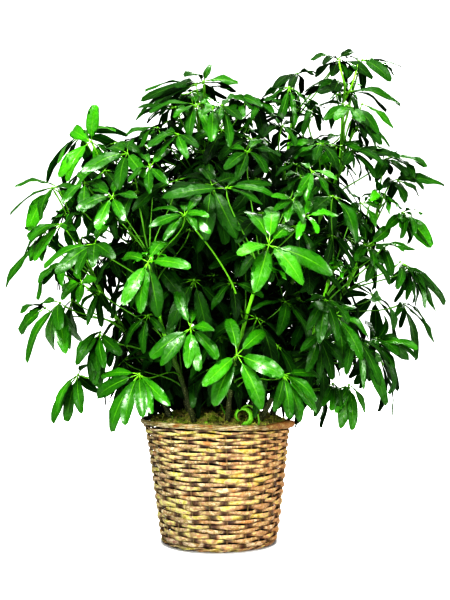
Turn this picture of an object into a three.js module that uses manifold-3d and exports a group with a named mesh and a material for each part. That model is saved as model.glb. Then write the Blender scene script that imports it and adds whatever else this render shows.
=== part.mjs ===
// Potted umbrella plant: a bushy schefflera with palm-like compound leaves, rooted in a nursery
// pot that stands in a woven wicker basket. Millimetres, +Z up. The origin is the centre of the
// basket's underside, and the front faces -Y.

import * as THREE from "three";
import { mergeVertices } from "three/addons/utils/BufferGeometryUtils.js";
import Module from "manifold-3d";

const wasm = await Module();
wasm.setup();

// ---------------------------------------------------------------- driving dimensions

const GAP = 0.3; // clearance between neighbouring pieces
const LEAF_GAP = 0.6; // clearance between leaves that cross
const ROUND_SIDES = 36; // sides of the turned pieces
const UP = new THREE.Vector3(0, 0, 1);

const WALL = {
  footRadius: 88, // outer radius on the floor
  shoulderRadius: 96, // outer radius where the rounded lower edge ends
  shoulderHeight: 11,
  shoulderSteps: 3,
  topRadius: 118.5,
  height: 191,
  thickness: 5,
};
const RIM = { radius: 120.5, tube: 7.5, sides: 12 };
const BASE = { thickness: 5 };
const POT = {
  footRadius: 79,
  topRadius: 105,
  top: 189,
  wall: 2.2,
  floor: 2.6,
  drainHoles: 6,
  drainHoleRadius: 5,
  drainHoleSides: 8,
  drainCircle: 52,
};
const SOIL_TOP = 189;
const MOSS = { radius: 111.8, edgeTop: 199, crown: 213, rings: 3 };

// The bush fills an ellipsoid round the basket's axis.
const BUSH = { halfWidth: 380, halfDepth: 300, halfHeight: 385, middle: 455 };

// Leaf places are read as they look from the front, on the upright plane through the basket's
// axis, by an eye at this point.
const EYE = new THREE.Vector3(10, -2000, 445);

// The curve's handles are shares of the span from stem to hub.
const PETIOLE = {
  length: 115,
  radius: 1.5,
  topRadius: 2.4,
  sides: 5,
  steps: 4,
  pastHub: 1.5,
  riseAtStem: 0.3,
  outwardAtStem: 0.15,
  straightAtHub: 0.3,
};
const LEAFLET = {
  halfWidthPerLength: 0.135,
  leastReach: 82,
  greatestReach: 120,
  arch: 0.1, // rise of the midrib over its chord, as a share of the length
  depthShare: 0.7, // how far an unseen tip leans to or from the eye
  turnedToEye: 0.4, // a leaf whose facing has more than this along Y is seen from above or below
};

// A leaf's tilt above level, in degrees, grows from low to high in the bush.
const LIFT = { lowHeight: 250, highHeight: 800, low: 32, high: 68 };

// Half width and keel depth along a leaflet, from the hub to the tip: a thin stalk, then a blade
// that is widest past its middle. Widths are shares of the widest half width.
const BLADE_STATIONS = [
  { along: 0, width: 0, keel: 0 },
  { along: 0.16, width: 0.12, keel: 1.3 },
  { along: 0.5, width: 0.92, keel: 2.0 },
  { along: 0.8, width: 0.9, keel: 1.5 },
  { along: 1, width: 0, keel: 0 },
];

// Woody stems, each from the soil to its growing tip. Leaves may start at any of the evenly
// spaced nodes from the first leafy one up.
const STEM = { sides: 8, steps: 8, baseRadius: 5.5, tipRadius: 2.6, nodes: 40, firstLeafy: 12 };
const STEMS = [
  {
    name: "stem_tall_right",
    path: [[38, -6, 150], [82, -10, 330], [150, -16, 500], [196, -14, 610], [206, -8, 730]],
  },
  { name: "stem_top_centre", path: [[-6, 6, 150], [-10, 16, 380], [-24, 12, 560], [-26, 6, 715]] },
  { name: "stem_top_right", path: [[20, 30, 150], [56, 48, 380], [104, 40, 580], [128, 24, 735]] },
  { name: "stem_top_left", path: [[-34, 2, 150], [-84, -8, 340], [-140, -16, 500], [-188, -30, 615]] },
  { name: "stem_far_left", path: [[-58, -16, 150], [-116, -30, 290], [-190, -34, 410], [-240, -36, 525]] },
  { name: "stem_front_centre", path: [[10, -44, 150], [20, -108, 270], [40, -168, 370], [60, -196, 440]] },
  { name: "stem_far_right", path: [[62, 4, 150], [130, -14, 300], [212, -30, 430], [262, -30, 550]] },
  { name: "stem_back_centre", path: [[2, 58, 150], [14, 104, 330], [2, 158, 490], [10, 190, 620]] },
  { name: "stem_back_left", path: [[-36, 44, 150], [-84, 92, 330], [-134, 132, 460], [-162, 150, 570]] },
  { name: "stem_back_right", path: [[44, 46, 150], [104, 100, 320], [160, 138, 460], [190, 150, 580]] },
  { name: "stem_front_left", path: [[-26, -40, 150], [-56, -104, 270], [-88, -160, 370], [-100, -186, 460]] },
  { name: "stem_front_right", path: [[42, -32, 150], [92, -88, 260], [146, -126, 350], [172, -140, 440]] },
];

// Leaves seen from the front. `at` is the hub's place (x, z) and `tips` are the leaflets' tips from
// the hub, both as they look. `layer` is 1 on the front of the bush and 0 on the axis plane.
const FRONT_LEAVES = [
  { at: [-213, 665], layer: 0.5, tips: [[10, 60], [-33, 18], [-57, -60], [42, -3], [-40, -68], [20, -45]] },
  {
    at: [-270, 590],
    layer: 0.45,
    tips: [[-62, -3], [-78, -48], [-42, -72], [-26, -65], [22, -33], [35, -8]],
  },
  {
    at: [-262, 528],
    layer: 0.55,
    tips: [[-48, -28], [-63, -55], [-42, -62], [-10, -50], [30, -13], [20, -30]],
  },
  { at: [-290, 500], layer: 0.2, tips: [[-65, -72], [-35, -28], [-13, -35], [25, -20], [-20, 20]] },
  { at: [-207, 495], layer: 0.9, tips: [[-85, -40], [-60, -50], [-22, -52], [3, -40], [40, -25], [15, 32]] },
  {
    at: [-265, 397],
    layer: 0.55,
    tips: [[-53, -98], [-15, -85], [17, -82], [28, -68], [10, -42], [-45, -15]],
  },
  { at: [-235, 277], layer: 0.55, tips: [[-42, -82], [-22, -82], [12, -60], [27, -35], [-45, -20], [5, 25]] },
  {
    at: [-133, 278],
    layer: 1,
    tips: [[-70, -8], [-75, -43], [-48, -97], [-20, -65], [10, -63], [26, -60], [55, -47]],
  },
  { at: [-118, 465], layer: 0.95, tips: [[-40, -72], [17, -93], [73, -10], [-47, 7], [-10, -85], [25, 35]] },
  {
    at: [-57, 543],
    layer: 0.95,
    tips: [[-58, 7], [-58, -22], [-33, -45], [22, -28], [42, -5], [44, -32], [-3, 25], [25, 37]],
  },
  {
    at: [-47, 355],
    layer: 0.97,
    tips: [[-27, 60], [-68, -50], [-50, -62], [-5, -65], [15, -70], [45, -50], [40, -3], [3, 27]],
  },
  { at: [30, 310], layer: 1, tips: [[-57, -48], [-38, -83], [42, -92], [77, -32], [47, 38], [-15, 58]] },
  {
    at: [-27, 762],
    layer: 0.3,
    tips: [[10, 27], [-28, 12], [57, 2], [-103, -35], [-85, -47], [-43, -23], [15, -23]],
  },
  { at: [-12, 593], layer: 0.75, tips: [[-82, -25], [22, -100], [42, -90], [-20, 33], [47, 17], [-12, -95]] },
  { at: [197, 802], layer: 0.1, tips: [[-48, -10], [33, 20], [-28, -20], [40, -22], [10, -40]] },
  { at: [130, 777], layer: 0.3, tips: [[-45, -37], [-33, -45], [-17, -38], [8, -25], [28, -10]] },
  { at: [210, 747], layer: 0.5, tips: [[-50, -10], [-65, 2], [92, -25], [72, -28], [77, -62], [10, -55]] },
  { at: [63, 722], layer: 0.35, tips: [[-40, 17], [-12, 15], [22, 5], [-35, -40], [10, -55], [45, -35]] },
  { at: [197, 657], layer: 0.45, tips: [[-85, 0], [-78, -18], [-33, -35], [20, -45], [45, -22], [15, 20]] },
  { at: [282, 640], layer: 0.45, tips: [[58, -20], [53, -38], [37, -38], [-15, -38], [-28, -40], [15, 12]] },
  { at: [298, 600], layer: 0.1, tips: [[73, -12], [42, -23], [3, -40], [-12, -33], [10, 15]] },
  { at: [300, 543], layer: 0.4, tips: [[48, -55], [20, -48], [-5, -12], [30, -10], [-30, -25]] },
  {
    at: [83, 493],
    layer: 1,
    tips: [[-40, 60], [7, 68], [40, 32], [107, -50], [53, -67], [-25, -78], [-53, -18]],
  },
  { at: [248, 492], layer: 0.6, tips: [[-18, 40], [42, 33], [77, -8], [30, -45], [3, -48], [-45, -18]] },
  { at: [193, 377], layer: 0.8, tips: [[42, 10], [10, -90], [60, -42], [45, -75], [-40, 18], [-30, -40]] },
  { at: [108, 277], layer: 0.95, tips: [[-18, -58], [8, -70], [28, -80], [55, -63], [52, -42], [63, -8]] },
  { at: [217, 260], layer: 0.6, tips: [[-27, -42], [-17, -70], [2, -73], [23, -47], [-20, 10]] },
  { at: [258, 332], layer: 0.6, tips: [[10, 45], [65, -30], [67, -10], [37, -43], [33, -85], [-20, -60]] },
  { at: [302, 465], layer: 0.5, tips: [[35, -77], [67, -82], [77, -65], [-3, -68], [-15, -45]] },
  { at: [305, 397], layer: 0.3, tips: [[47, -65], [23, -97], [27, -32], [5, -45], [-20, -20]] },
];

// Leaves on the far side, in a climbing spiral.
const BACK_LEAVES = {
  count: 12,
  lowest: 300,
  rise: 35,
  firstBearing: 18, // degrees from +X towards +Y
  bearingSpan: 144,
  turn: 52, // degrees from one leaf to the next up
  shareOfEnvelope: 0.84,
  leaflets: 8,
  reach: 92,
  longerBelow: 0.14, // the lower leaflets are longer by this share, and the upper ones shorter
  droop: 28, // degrees below the plane across the petiole
};

// ---------------------------------------------------------------- materials

const MATERIALS = {
  wicker: new THREE.MeshStandardMaterial({ color: 0xc79a4b, roughness: 0.75, metalness: 0 }),
  rim: new THREE.MeshStandardMaterial({ color: 0xb4702a, roughness: 0.7, metalness: 0 }),
  pot: new THREE.MeshStandardMaterial({ color: 0x2b2f2a, roughness: 0.6, metalness: 0 }),
  soil: new THREE.MeshStandardMaterial({ color: 0x2a1d14, roughness: 1, metalness: 0 }),
  moss: new THREE.MeshStandardMaterial({ color: 0x5c5a26, roughness: 1, metalness: 0 }),
  bark: new THREE.MeshStandardMaterial({ color: 0x6b7a3c, roughness: 0.8, metalness: 0 }),
  leaf: new THREE.MeshStandardMaterial({ color: 0x2f7d1f, roughness: 0.35, metalness: 0 }),
};

// ---------------------------------------------------------------- solids

/** A closed geometry as a solid, with its shared vertices merged. */
function toSolid(geometry) {
  const bare = geometry.clone();
  bare.deleteAttribute("normal");
  bare.deleteAttribute("uv");
  const merged = mergeVertices(bare, 1e-4);
  return new wasm.Manifold(
    new wasm.Mesh({
      numProp: 3,
      vertProperties: new Float32Array(merged.attributes.position.array),
      triVerts: new Uint32Array(merged.index.array),
    }),
  );
}

/** A solid as an indexed geometry. */
function toGeometry(solid) {
  const { vertProperties, triVerts } = solid.getMesh();
  const geometry = new THREE.BufferGeometry();
  geometry.setAttribute("position", new THREE.BufferAttribute(vertProperties, 3));
  geometry.setIndex(new THREE.BufferAttribute(triVerts, 1));
  geometry.computeVertexNormals();
  return geometry;
}

/** The largest of a solid's separate bodies. */
function largestBody(solid) {
  return solid.decompose().reduce((best, body) => (body.volume() > best.volume() ? body : best));
}

/** Subtracts every solid of a list. */
function without(solid, cutters) {
  return cutters.reduce((rest, cutter) => rest.subtract(cutter), solid);
}

/** A named mesh. */
function node(name, solid, material) {
  const mesh = new THREE.Mesh(toGeometry(solid), material);
  mesh.name = name;
  return mesh;
}

/** A piece turned about the Z axis from a profile of [radius, height] points. */
function turned(profile) {
  const points = profile.map(([radius, height]) => new THREE.Vector2(radius, height));
  const geometry = new THREE.LatheGeometry(points, ROUND_SIDES);
  geometry.rotateX(Math.PI / 2);
  return toSolid(geometry);
}

/**
 * Bends a geometry that stands along Y, from -0.5 to 0.5 in equal steps, along a curve. Its own
 * X and Z become the curve's normal and side. `overrun` lengthens it past both ends.
 */
function bentAlong(geometry, curve, steps, overrun = 0) {
  const frames = curve.computeFrenetFrames(steps, false);
  const position = geometry.attributes.position;
  for (let i = 0; i < position.count; i += 1) {
    const step = Math.round((position.getY(i) + 0.5) * steps);
    const point = curve.getPointAt(step / steps);
    if (step === 0) point.addScaledVector(frames.tangents[step], -overrun);
    if (step === steps) point.addScaledVector(frames.tangents[step], overrun);
    point.addScaledVector(frames.normals[step], position.getX(i));
    point.addScaledVector(frames.binormals[step], -position.getZ(i));
    position.setXYZ(i, point.x, point.y, point.z);
  }
  return toSolid(geometry);
}

// ---------------------------------------------------------------- basket, pot and soil

/** The rounded lower edge, a quarter ellipse from the floor to the shoulder. */
function lowerEdge(inset) {
  return Array.from({ length: WALL.shoulderSteps + 1 }, (_, i) => {
    const angle = (i / WALL.shoulderSteps) * (Math.PI / 2);
    const radius = WALL.footRadius + (WALL.shoulderRadius - WALL.footRadius) * Math.sin(angle);
    return [radius - inset, WALL.shoulderHeight * (1 - Math.cos(angle))];
  });
}

function basketWall() {
  const outer = [...lowerEdge(0), [WALL.topRadius, WALL.height]];
  const inner = [[WALL.topRadius - WALL.thickness, WALL.height], ...lowerEdge(WALL.thickness).reverse()];
  return turned([...outer, ...inner, outer[0]]);
}

/** The rolled rim, a ring that rests on the wall's top edge. */
function basketRim() {
  const reach = RIM.tube + GAP;
  const height = WALL.height + Math.sqrt(reach ** 2 - (RIM.radius - WALL.topRadius) ** 2);
  const profile = Array.from({ length: RIM.sides + 1 }, (_, i) => {
    const angle = ((i % RIM.sides) / RIM.sides) * 2 * Math.PI;
    return [RIM.radius + RIM.tube * Math.cos(angle), height + RIM.tube * Math.sin(angle)];
  });
  return turned(profile);
}

function basketBase() {
  const radius = WALL.footRadius - WALL.thickness - GAP;
  return turned([[0, 0], [radius, 0], [radius, BASE.thickness], [0, BASE.thickness]]);
}

/** The nursery pot's inner radius at a height. */
function potInnerRadius(height) {
  const foot = BASE.thickness + GAP;
  const share = (height - foot) / (POT.top - foot);
  return THREE.MathUtils.lerp(POT.footRadius, POT.topRadius, share) - POT.wall;
}

/** The nursery pot that stands on the basket's base, with drain holes in its floor. */
function growPot() {
  const foot = BASE.thickness + GAP;
  const floorTop = foot + POT.floor;
  const cup = turned([
    [0, foot],
    [POT.footRadius, foot],
    [POT.topRadius, POT.top],
    [POT.topRadius - POT.wall, POT.top],
    [potInnerRadius(floorTop), floorTop],
    [0, floorTop],
  ]);
  const { drainHoleRadius: radius, drainHoleSides: sides, drainCircle: circle } = POT;
  const holes = Array.from({ length: POT.drainHoles }, (_, i) => {
    const angle = (i / POT.drainHoles) * 2 * Math.PI;
    const drill = new THREE.CylinderGeometry(radius, radius, 3 * POT.floor, sides);
    drill.rotateX(Math.PI / 2);
    drill.translate(circle * Math.cos(angle), circle * Math.sin(angle), foot);
    return toSolid(drill);
  });
  return without(cup, holes);
}

/** The root ball and soil, which fill the pot round the stems' feet. */
function soilBlock() {
  const floor = BASE.thickness + GAP + POT.floor + GAP;
  return turned([
    [0, floor],
    [potInnerRadius(floor) - GAP, floor],
    [potInnerRadius(SOIL_TOP) - GAP, SOIL_TOP],
    [0, SOIL_TOP],
  ]);
}

/** The moss that hides the pot, a low dome on the pot's edge. */
function mossLayer() {
  const bottom = POT.top + GAP;
  const dome = Array.from({ length: MOSS.rings + 1 }, (_, i) => {
    const angle = (i / MOSS.rings) * (Math.PI / 2);
    const height = MOSS.edgeTop + (MOSS.crown - MOSS.edgeTop) * Math.sin(angle);
    return [i === MOSS.rings ? 0 : MOSS.radius * Math.cos(angle), height];
  });
  return turned([[0, bottom], [MOSS.radius, bottom], ...dome]);
}

// ---------------------------------------------------------------- stems

/** A stem's curve from the soil to its tip. */
function stemCurve({ path }) {
  return new THREE.CatmullRomCurve3(path.map((point) => new THREE.Vector3(...point)));
}

/** A tapering stem. `grow` thickens it, for the hole it needs in a neighbour. */
function stemSolid(curve, grow = 0) {
  const { tipRadius, baseRadius, sides, steps } = STEM;
  const rod = new THREE.CylinderGeometry(tipRadius + grow, baseRadius + grow, 1, sides, steps);
  return bentAlong(rod, curve, steps, grow);
}

// ---------------------------------------------------------------- leaves

/** Where a place that looks to be at (x, z) lies when it is at this depth. */
function onSightLine(x, z, depth) {
  return EYE.clone().lerp(new THREE.Vector3(x, 0, z), (depth - EYE.y) / -EYE.y);
}

/** The bush's envelope at a height, as a share of its widest. */
function envelopeShare(z) {
  return Math.sqrt(Math.max(0, 1 - ((z - BUSH.middle) / BUSH.halfHeight) ** 2));
}

/** How far the bush's front stands out at (x, z). */
function envelopeDepth(x, z) {
  const share = envelopeShare(z) ** 2 - (x / BUSH.halfWidth) ** 2;
  return BUSH.halfDepth * Math.sqrt(Math.max(0, share));
}

/** The unit vector level and outward from the basket's axis. */
function outwardFrom(point) {
  return new THREE.Vector3(point.x, point.y, 0).normalize();
}

/** The way a leaf faces: outward, and more upward the higher it sits. */
function facing(hub) {
  const tilt = THREE.MathUtils.mapLinear(hub.z, LIFT.lowHeight, LIFT.highHeight, LIFT.low, LIFT.high);
  const lift = THREE.MathUtils.degToRad(tilt);
  return outwardFrom(hub).multiplyScalar(Math.cos(lift)).addScaledVector(UP, Math.sin(lift));
}

/** A front leaf with its hub and tips in space. */
function frontLeaf({ at: [x, z], layer, tips }) {
  const depth = -layer * envelopeDepth(x, z);
  const hub = onSightLine(x, z, depth);
  const scale = (depth - EYE.y) / -EYE.y;
  const normal = facing(hub);
  const seenReach = Math.max(...tips.map((tip) => Math.hypot(...tip)));
  const reach = scale * THREE.MathUtils.clamp(seenReach, LEAFLET.leastReach, LEAFLET.greatestReach);
  const tipPoints = tips.map(([dx, dz], i) => {
    const seen = new THREE.Vector3(dx, 0, dz).multiplyScalar(scale);
    const hidden = Math.sqrt(Math.max(0, reach ** 2 - seen.lengthSq()));
    const facesEye = Math.abs(normal.y) > LEAFLET.turnedToEye;
    const alternate = i % 2 === 0 ? -1 : 1;
    const side = facesEye ? Math.sign(seen.dot(normal)) : alternate;
    seen.y = side * LEAFLET.depthShare * hidden;
    return seen.add(hub);
  });
  return { hub, normal, tips: tipPoints };
}

/** A leaf of the far side, its leaflets spread evenly like an umbrella's ribs. */
function backLeaf(index) {
  const rule = BACK_LEAVES;
  const z = rule.lowest + rule.rise * index;
  const bearing = THREE.MathUtils.degToRad(rule.firstBearing + ((index * rule.turn) % rule.bearingSpan));
  const share = rule.shareOfEnvelope * envelopeShare(z);
  const x = BUSH.halfWidth * share * Math.cos(bearing);
  const y = BUSH.halfDepth * share * Math.sin(bearing);
  const hub = new THREE.Vector3(x, y, z);
  const normal = facing(hub);
  const across = new THREE.Vector3().crossVectors(UP, normal).normalize();
  const along = new THREE.Vector3().crossVectors(normal, across);
  const droop = THREE.MathUtils.degToRad(rule.droop);
  const tips = Array.from({ length: rule.leaflets }, (_, i) => {
    const angle = ((i + 0.5) / rule.leaflets) * 2 * Math.PI;
    const reach = rule.reach * (1 - rule.longerBelow * Math.sin(angle));
    const spoke = across.clone().multiplyScalar(Math.cos(angle)).addScaledVector(along, Math.sin(angle));
    const arm = spoke.multiplyScalar(Math.cos(droop)).addScaledVector(normal, -Math.sin(droop));
    return hub.clone().addScaledVector(arm, reach);
  });
  return { hub, normal, tips };
}

/** The point of the stems nearest to where a petiole of the usual length would start. */
function attachPoint({ hub, normal }, curves) {
  const foot = hub.clone().addScaledVector(normal, -PETIOLE.length);
  const nodes = curves.flatMap((curve) => curve.getSpacedPoints(STEM.nodes).slice(STEM.firstLeafy));
  return nodes.reduce((best, p) => (p.distanceTo(foot) < best.distanceTo(foot) ? p : best));
}

/** The leaf's stalk, from inside its stem to just past the hub. */
function petioleSolid({ hub, normal }, attach, grow = 0) {
  const { topRadius, radius, sides, steps, riseAtStem, outwardAtStem, straightAtHub } = PETIOLE;
  const span = attach.distanceTo(hub);
  const risen = attach.clone().addScaledVector(UP, riseAtStem * span);
  const curve = new THREE.CubicBezierCurve3(
    attach,
    risen.addScaledVector(outwardFrom(hub), outwardAtStem * span),
    hub.clone().addScaledVector(normal, -straightAtHub * span),
    hub.clone().addScaledVector(normal, PETIOLE.pastHub),
  );
  const rod = new THREE.CylinderGeometry(topRadius + grow, radius + grow, 1, sides, steps);
  return bentAlong(rod, curve, steps, grow);
}

/** A leaflet: a keeled blade on an arched midrib. */
function leafletSolid(hub, normal, tip, grow = 0) {
  const chord = tip.clone().sub(hub);
  const length = chord.length();
  const lift = normal.clone().add(UP);
  lift.addScaledVector(chord, -lift.dot(chord) / length ** 2).normalize();
  const crest = hub.clone().lerp(tip, 0.5).addScaledVector(lift, 2 * LEAFLET.arch * length);
  const midrib = new THREE.QuadraticBezierCurve3(hub, crest, tip);
  const last = BLADE_STATIONS.length - 1;
  const halfWidth = LEAFLET.halfWidthPerLength * length;
  const blade = new THREE.SphereGeometry(1, 3, last);
  const position = blade.attributes.position;
  for (let i = 0; i < position.count; i += 1) {
    const ring = Math.round((Math.acos(THREE.MathUtils.clamp(position.getY(i), -1, 1)) / Math.PI) * last);
    const { along, width, keel } = BLADE_STATIONS[ring];
    const heading = midrib.getTangentAt(along);
    const up = lift.clone().addScaledVector(heading, -lift.dot(heading)).normalize();
    const across = new THREE.Vector3().crossVectors(heading, up);
    const point = midrib.getPointAt(along);
    if (ring === 0 || ring === last) {
      point.addScaledVector(heading, ring === 0 ? -grow : grow);
    } else {
      const side = Math.sign(Math.round(position.getZ(i)));
      point.addScaledVector(across, side * (width * halfWidth + 2 * grow));
      point.addScaledVector(up, side === 0 ? -keel - grow : grow);
    }
    position.setXYZ(i, point.x, point.y, point.z);
  }
  return toSolid(blade);
}

/** A leaf's leaflets, joined. */
function bladesSolid({ hub, normal, tips }, grow = 0) {
  return wasm.Manifold.union(tips.map((tip) => leafletSolid(hub, normal, tip, grow)));
}

/** Every leaf as one body: its leaflets give way to other leaves' stalks and to earlier leaflets. */
function leafSolids(leaves, curves, grownStems) {
  const attaches = leaves.map((leaf) => attachPoint(leaf, curves));
  const grownStalks = leaves.map((leaf, i) => petioleSolid(leaf, attaches[i], LEAF_GAP));
  const grownBlades = leaves.map((leaf) => bladesSolid(leaf, LEAF_GAP));
  return leaves.map((leaf, i) => {
    const otherStalks = grownStalks.filter((_, j) => j !== i);
    const blades = without(bladesSolid(leaf), [...otherStalks, ...grownBlades.slice(0, i)]);
    const stalk = without(petioleSolid(leaf, attaches[i]), grownStalks.slice(0, i));
    return largestBody(without(stalk.add(blades), grownStems));
  });
}

// ---------------------------------------------------------------- assembly

function buildPlant() {
  const plant = new THREE.Group();
  const curves = STEMS.map(stemCurve);
  const grownStems = curves.map((curve) => stemSolid(curve, GAP));

  plant.add(node("basket_base", basketBase(), MATERIALS.wicker));
  plant.add(node("basket_wall", basketWall(), MATERIALS.wicker));
  plant.add(node("basket_rim", basketRim(), MATERIALS.rim));
  plant.add(node("grow_pot", growPot(), MATERIALS.pot));
  plant.add(node("soil", without(soilBlock(), grownStems), MATERIALS.soil));
  plant.add(node("moss", without(mossLayer(), grownStems), MATERIALS.moss));
  STEMS.forEach(({ name }, i) => plant.add(node(name, stemSolid(curves[i]), MATERIALS.bark)));

  const backLeaves = Array.from({ length: BACK_LEAVES.count }, (_, i) => backLeaf(i));
  const leaves = [...FRONT_LEAVES.map(frontLeaf), ...backLeaves];
  leafSolids(leaves, curves, grownStems).forEach((solid, i) => {
    const number = String(i + 1).padStart(2, "0");
    plant.add(node(`leaf_${number}`, solid, MATERIALS.leaf));
  });
  return plant;
}

export default buildPlant();
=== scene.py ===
"""Visual model of a potted umbrella plant in a woven wicker basket.

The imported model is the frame. Its basket, moss, stems and leaves are replaced by finer pieces in the
same places, and the nursery pot and the soil keep their solids and get materials of their own. Shapes
are worked out in millimetres, +Z up, with the plant's front facing -Y, and stored in metres.
"""

from __future__ import annotations

import logging
import math
import random
from collections.abc import Callable, Iterable, Sequence
from dataclasses import dataclass, field
from enum import Enum

import bmesh
import bpy
from mathutils import Matrix, Vector, noise

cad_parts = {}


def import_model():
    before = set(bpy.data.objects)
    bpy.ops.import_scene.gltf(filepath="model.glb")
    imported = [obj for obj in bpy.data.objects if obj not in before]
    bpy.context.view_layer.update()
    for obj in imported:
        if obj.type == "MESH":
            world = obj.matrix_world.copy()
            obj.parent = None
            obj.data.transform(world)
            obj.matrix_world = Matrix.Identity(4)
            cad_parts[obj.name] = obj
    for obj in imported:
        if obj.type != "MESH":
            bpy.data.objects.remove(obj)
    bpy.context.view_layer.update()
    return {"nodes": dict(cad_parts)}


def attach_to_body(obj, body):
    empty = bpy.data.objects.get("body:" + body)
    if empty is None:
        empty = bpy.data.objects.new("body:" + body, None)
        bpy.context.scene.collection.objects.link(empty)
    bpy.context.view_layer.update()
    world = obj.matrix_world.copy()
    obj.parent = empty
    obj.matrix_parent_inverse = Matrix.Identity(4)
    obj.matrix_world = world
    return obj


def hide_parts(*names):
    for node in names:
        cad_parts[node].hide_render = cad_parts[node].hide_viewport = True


LOG = logging.getLogger("umbrella_plant")
MM = 0.001
UP = Vector((0.0, 0.0, 1.0))
TAU = 2 * math.pi
BODY = "root"
BACK_LEAVES = 12
LEAVES_PER_SPRAY = 3
LEAVES_PER_INNER_PIECE = 13

Pair = tuple[float, float]
Triple = tuple[float, float, float]
Colour = Triple
Place = Callable[[float, float], Vector]
Tone = Callable[[float, float], Triple]
Material = bpy.types.Material
Node = bpy.types.Node
Socket = bpy.types.NodeSocket


class Layer(Enum):
    """Names of the mesh layers that the materials read."""

    MAP = "strip_map"
    TONE = "tone"


class Slot(Enum):
    """The record's material slots."""

    WICKER = "wicker"
    RIM = "rim_cane"
    MOSS = "moss"
    BARK = "bark"
    LEAF = "leaf"
    YOUNG = "young_leaf"
    PETIOLE = "petiole"


def blend(low: float, high: float, share: float) -> float:
    """Returns the value that lies a share of the way from low to high."""
    return low + (high - low) * share


def smooth_step(low: float, high: float, value: float) -> float:
    """Returns 0 below low, 1 above high and a smooth rise between them."""
    share = min(1.0, max(0.0, (value - low) / (high - low)))
    return share * share * (3 - 2 * share)


def spread(rng: random.Random, reach: float) -> float:
    """Returns a random value between -reach and reach."""
    return rng.uniform(-reach, reach)


# -------------------------------- paths


@dataclass
class Path:
    """A smooth line through space with a frame at each of its points.

    Args:
        points: The points along the line, in millimetres.
    """

    points: list[Vector]
    tangents: list[Vector] = field(init=False)
    normals: list[Vector] = field(init=False)

    def __post_init__(self) -> None:
        """Works out the tangents, and normals that turn as little as they can."""
        behind = [self.points[0], *self.points[:-1]]
        ahead = [*self.points[1:], self.points[-1]]
        self.tangents = [(b - a).normalized() for a, b in zip(behind, ahead)]
        first = self.tangents[0]
        self.normals = [(UP if abs(first.z) < 0.9 else Vector((0, 1, 0))).cross(first).normalized()]
        for tangent in self.tangents[1:]:
            carried = self.normals[-1]
            self.normals.append((carried - tangent * carried.dot(tangent)).normalized())

    @classmethod
    def bezier(cls, controls: Sequence[Vector], steps: int) -> Path:
        """Makes a Bezier curve of any degree.

        Args:
            controls: The control points.
            steps: The number of equal steps in the curve's own parameter.

        Returns:
            The path, with steps + 1 points.
        """

        def point(share: float) -> Vector:
            """Returns the curve's point at a share, by repeated halfway lines."""
            level = [c.copy() for c in controls]
            while len(level) > 1:
                level = [a.lerp(b, share) for a, b in zip(level, level[1:])]
            return level[0]

        return cls([point(i / steps) for i in range(steps + 1)])

    @classmethod
    def spline(cls, knots: Sequence[Vector], steps: int) -> Path:
        """Makes a centripetal spline through knots, in steps of equal length.

        Args:
            knots: The points that the spline passes.
            steps: The number of steps.

        Returns:
            The path, with steps + 1 points.
        """
        samples = 40
        ends = [knots[0] * 2 - knots[1], *knots, knots[-1] * 2 - knots[-2]]
        dense: list[Vector] = []
        for a, b, c, d in zip(ends, ends[1:], ends[2:], ends[3:]):
            ab, bc, cd = (math.sqrt((q - p).length) for p, q in ((a, b), (b, c), (c, d)))
            leave = ((b - a) / ab - (c - a) / (ab + bc) + (c - b) / bc) * bc
            arrive = ((c - b) / bc - (d - b) / (bc + cd) + (d - c) / cd) * bc
            for i in range(samples):
                t = i / samples
                dense.append(
                    b
                    + leave * t
                    + (c * 3 - b * 3 - leave * 2 - arrive) * t**2
                    + (b * 2 - c * 2 + leave + arrive) * t**3
                )
        dense.append(knots[-1].copy())
        return cls(evenly(dense, steps))


def evenly(dense: Sequence[Vector], steps: int) -> list[Vector]:
    """Picks points at equal distances along a finely sampled line.

    Args:
        dense: The line's samples.
        steps: The number of equal steps.

    Returns:
        steps + 1 points.
    """
    reach = [0.0]
    for a, b in zip(dense, dense[1:]):
        reach.append(reach[-1] + (b - a).length)
    picked, at = [], 0
    for i in range(steps + 1):
        want = reach[-1] * i / steps
        while at < len(dense) - 2 and reach[at + 1] < want:
            at += 1
        share = (want - reach[at]) / max(reach[at + 1] - reach[at], 1e-9)
        picked.append(dense[at].lerp(dense[at + 1], share))
    return picked


# -------------------------------- pieces under construction


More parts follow.
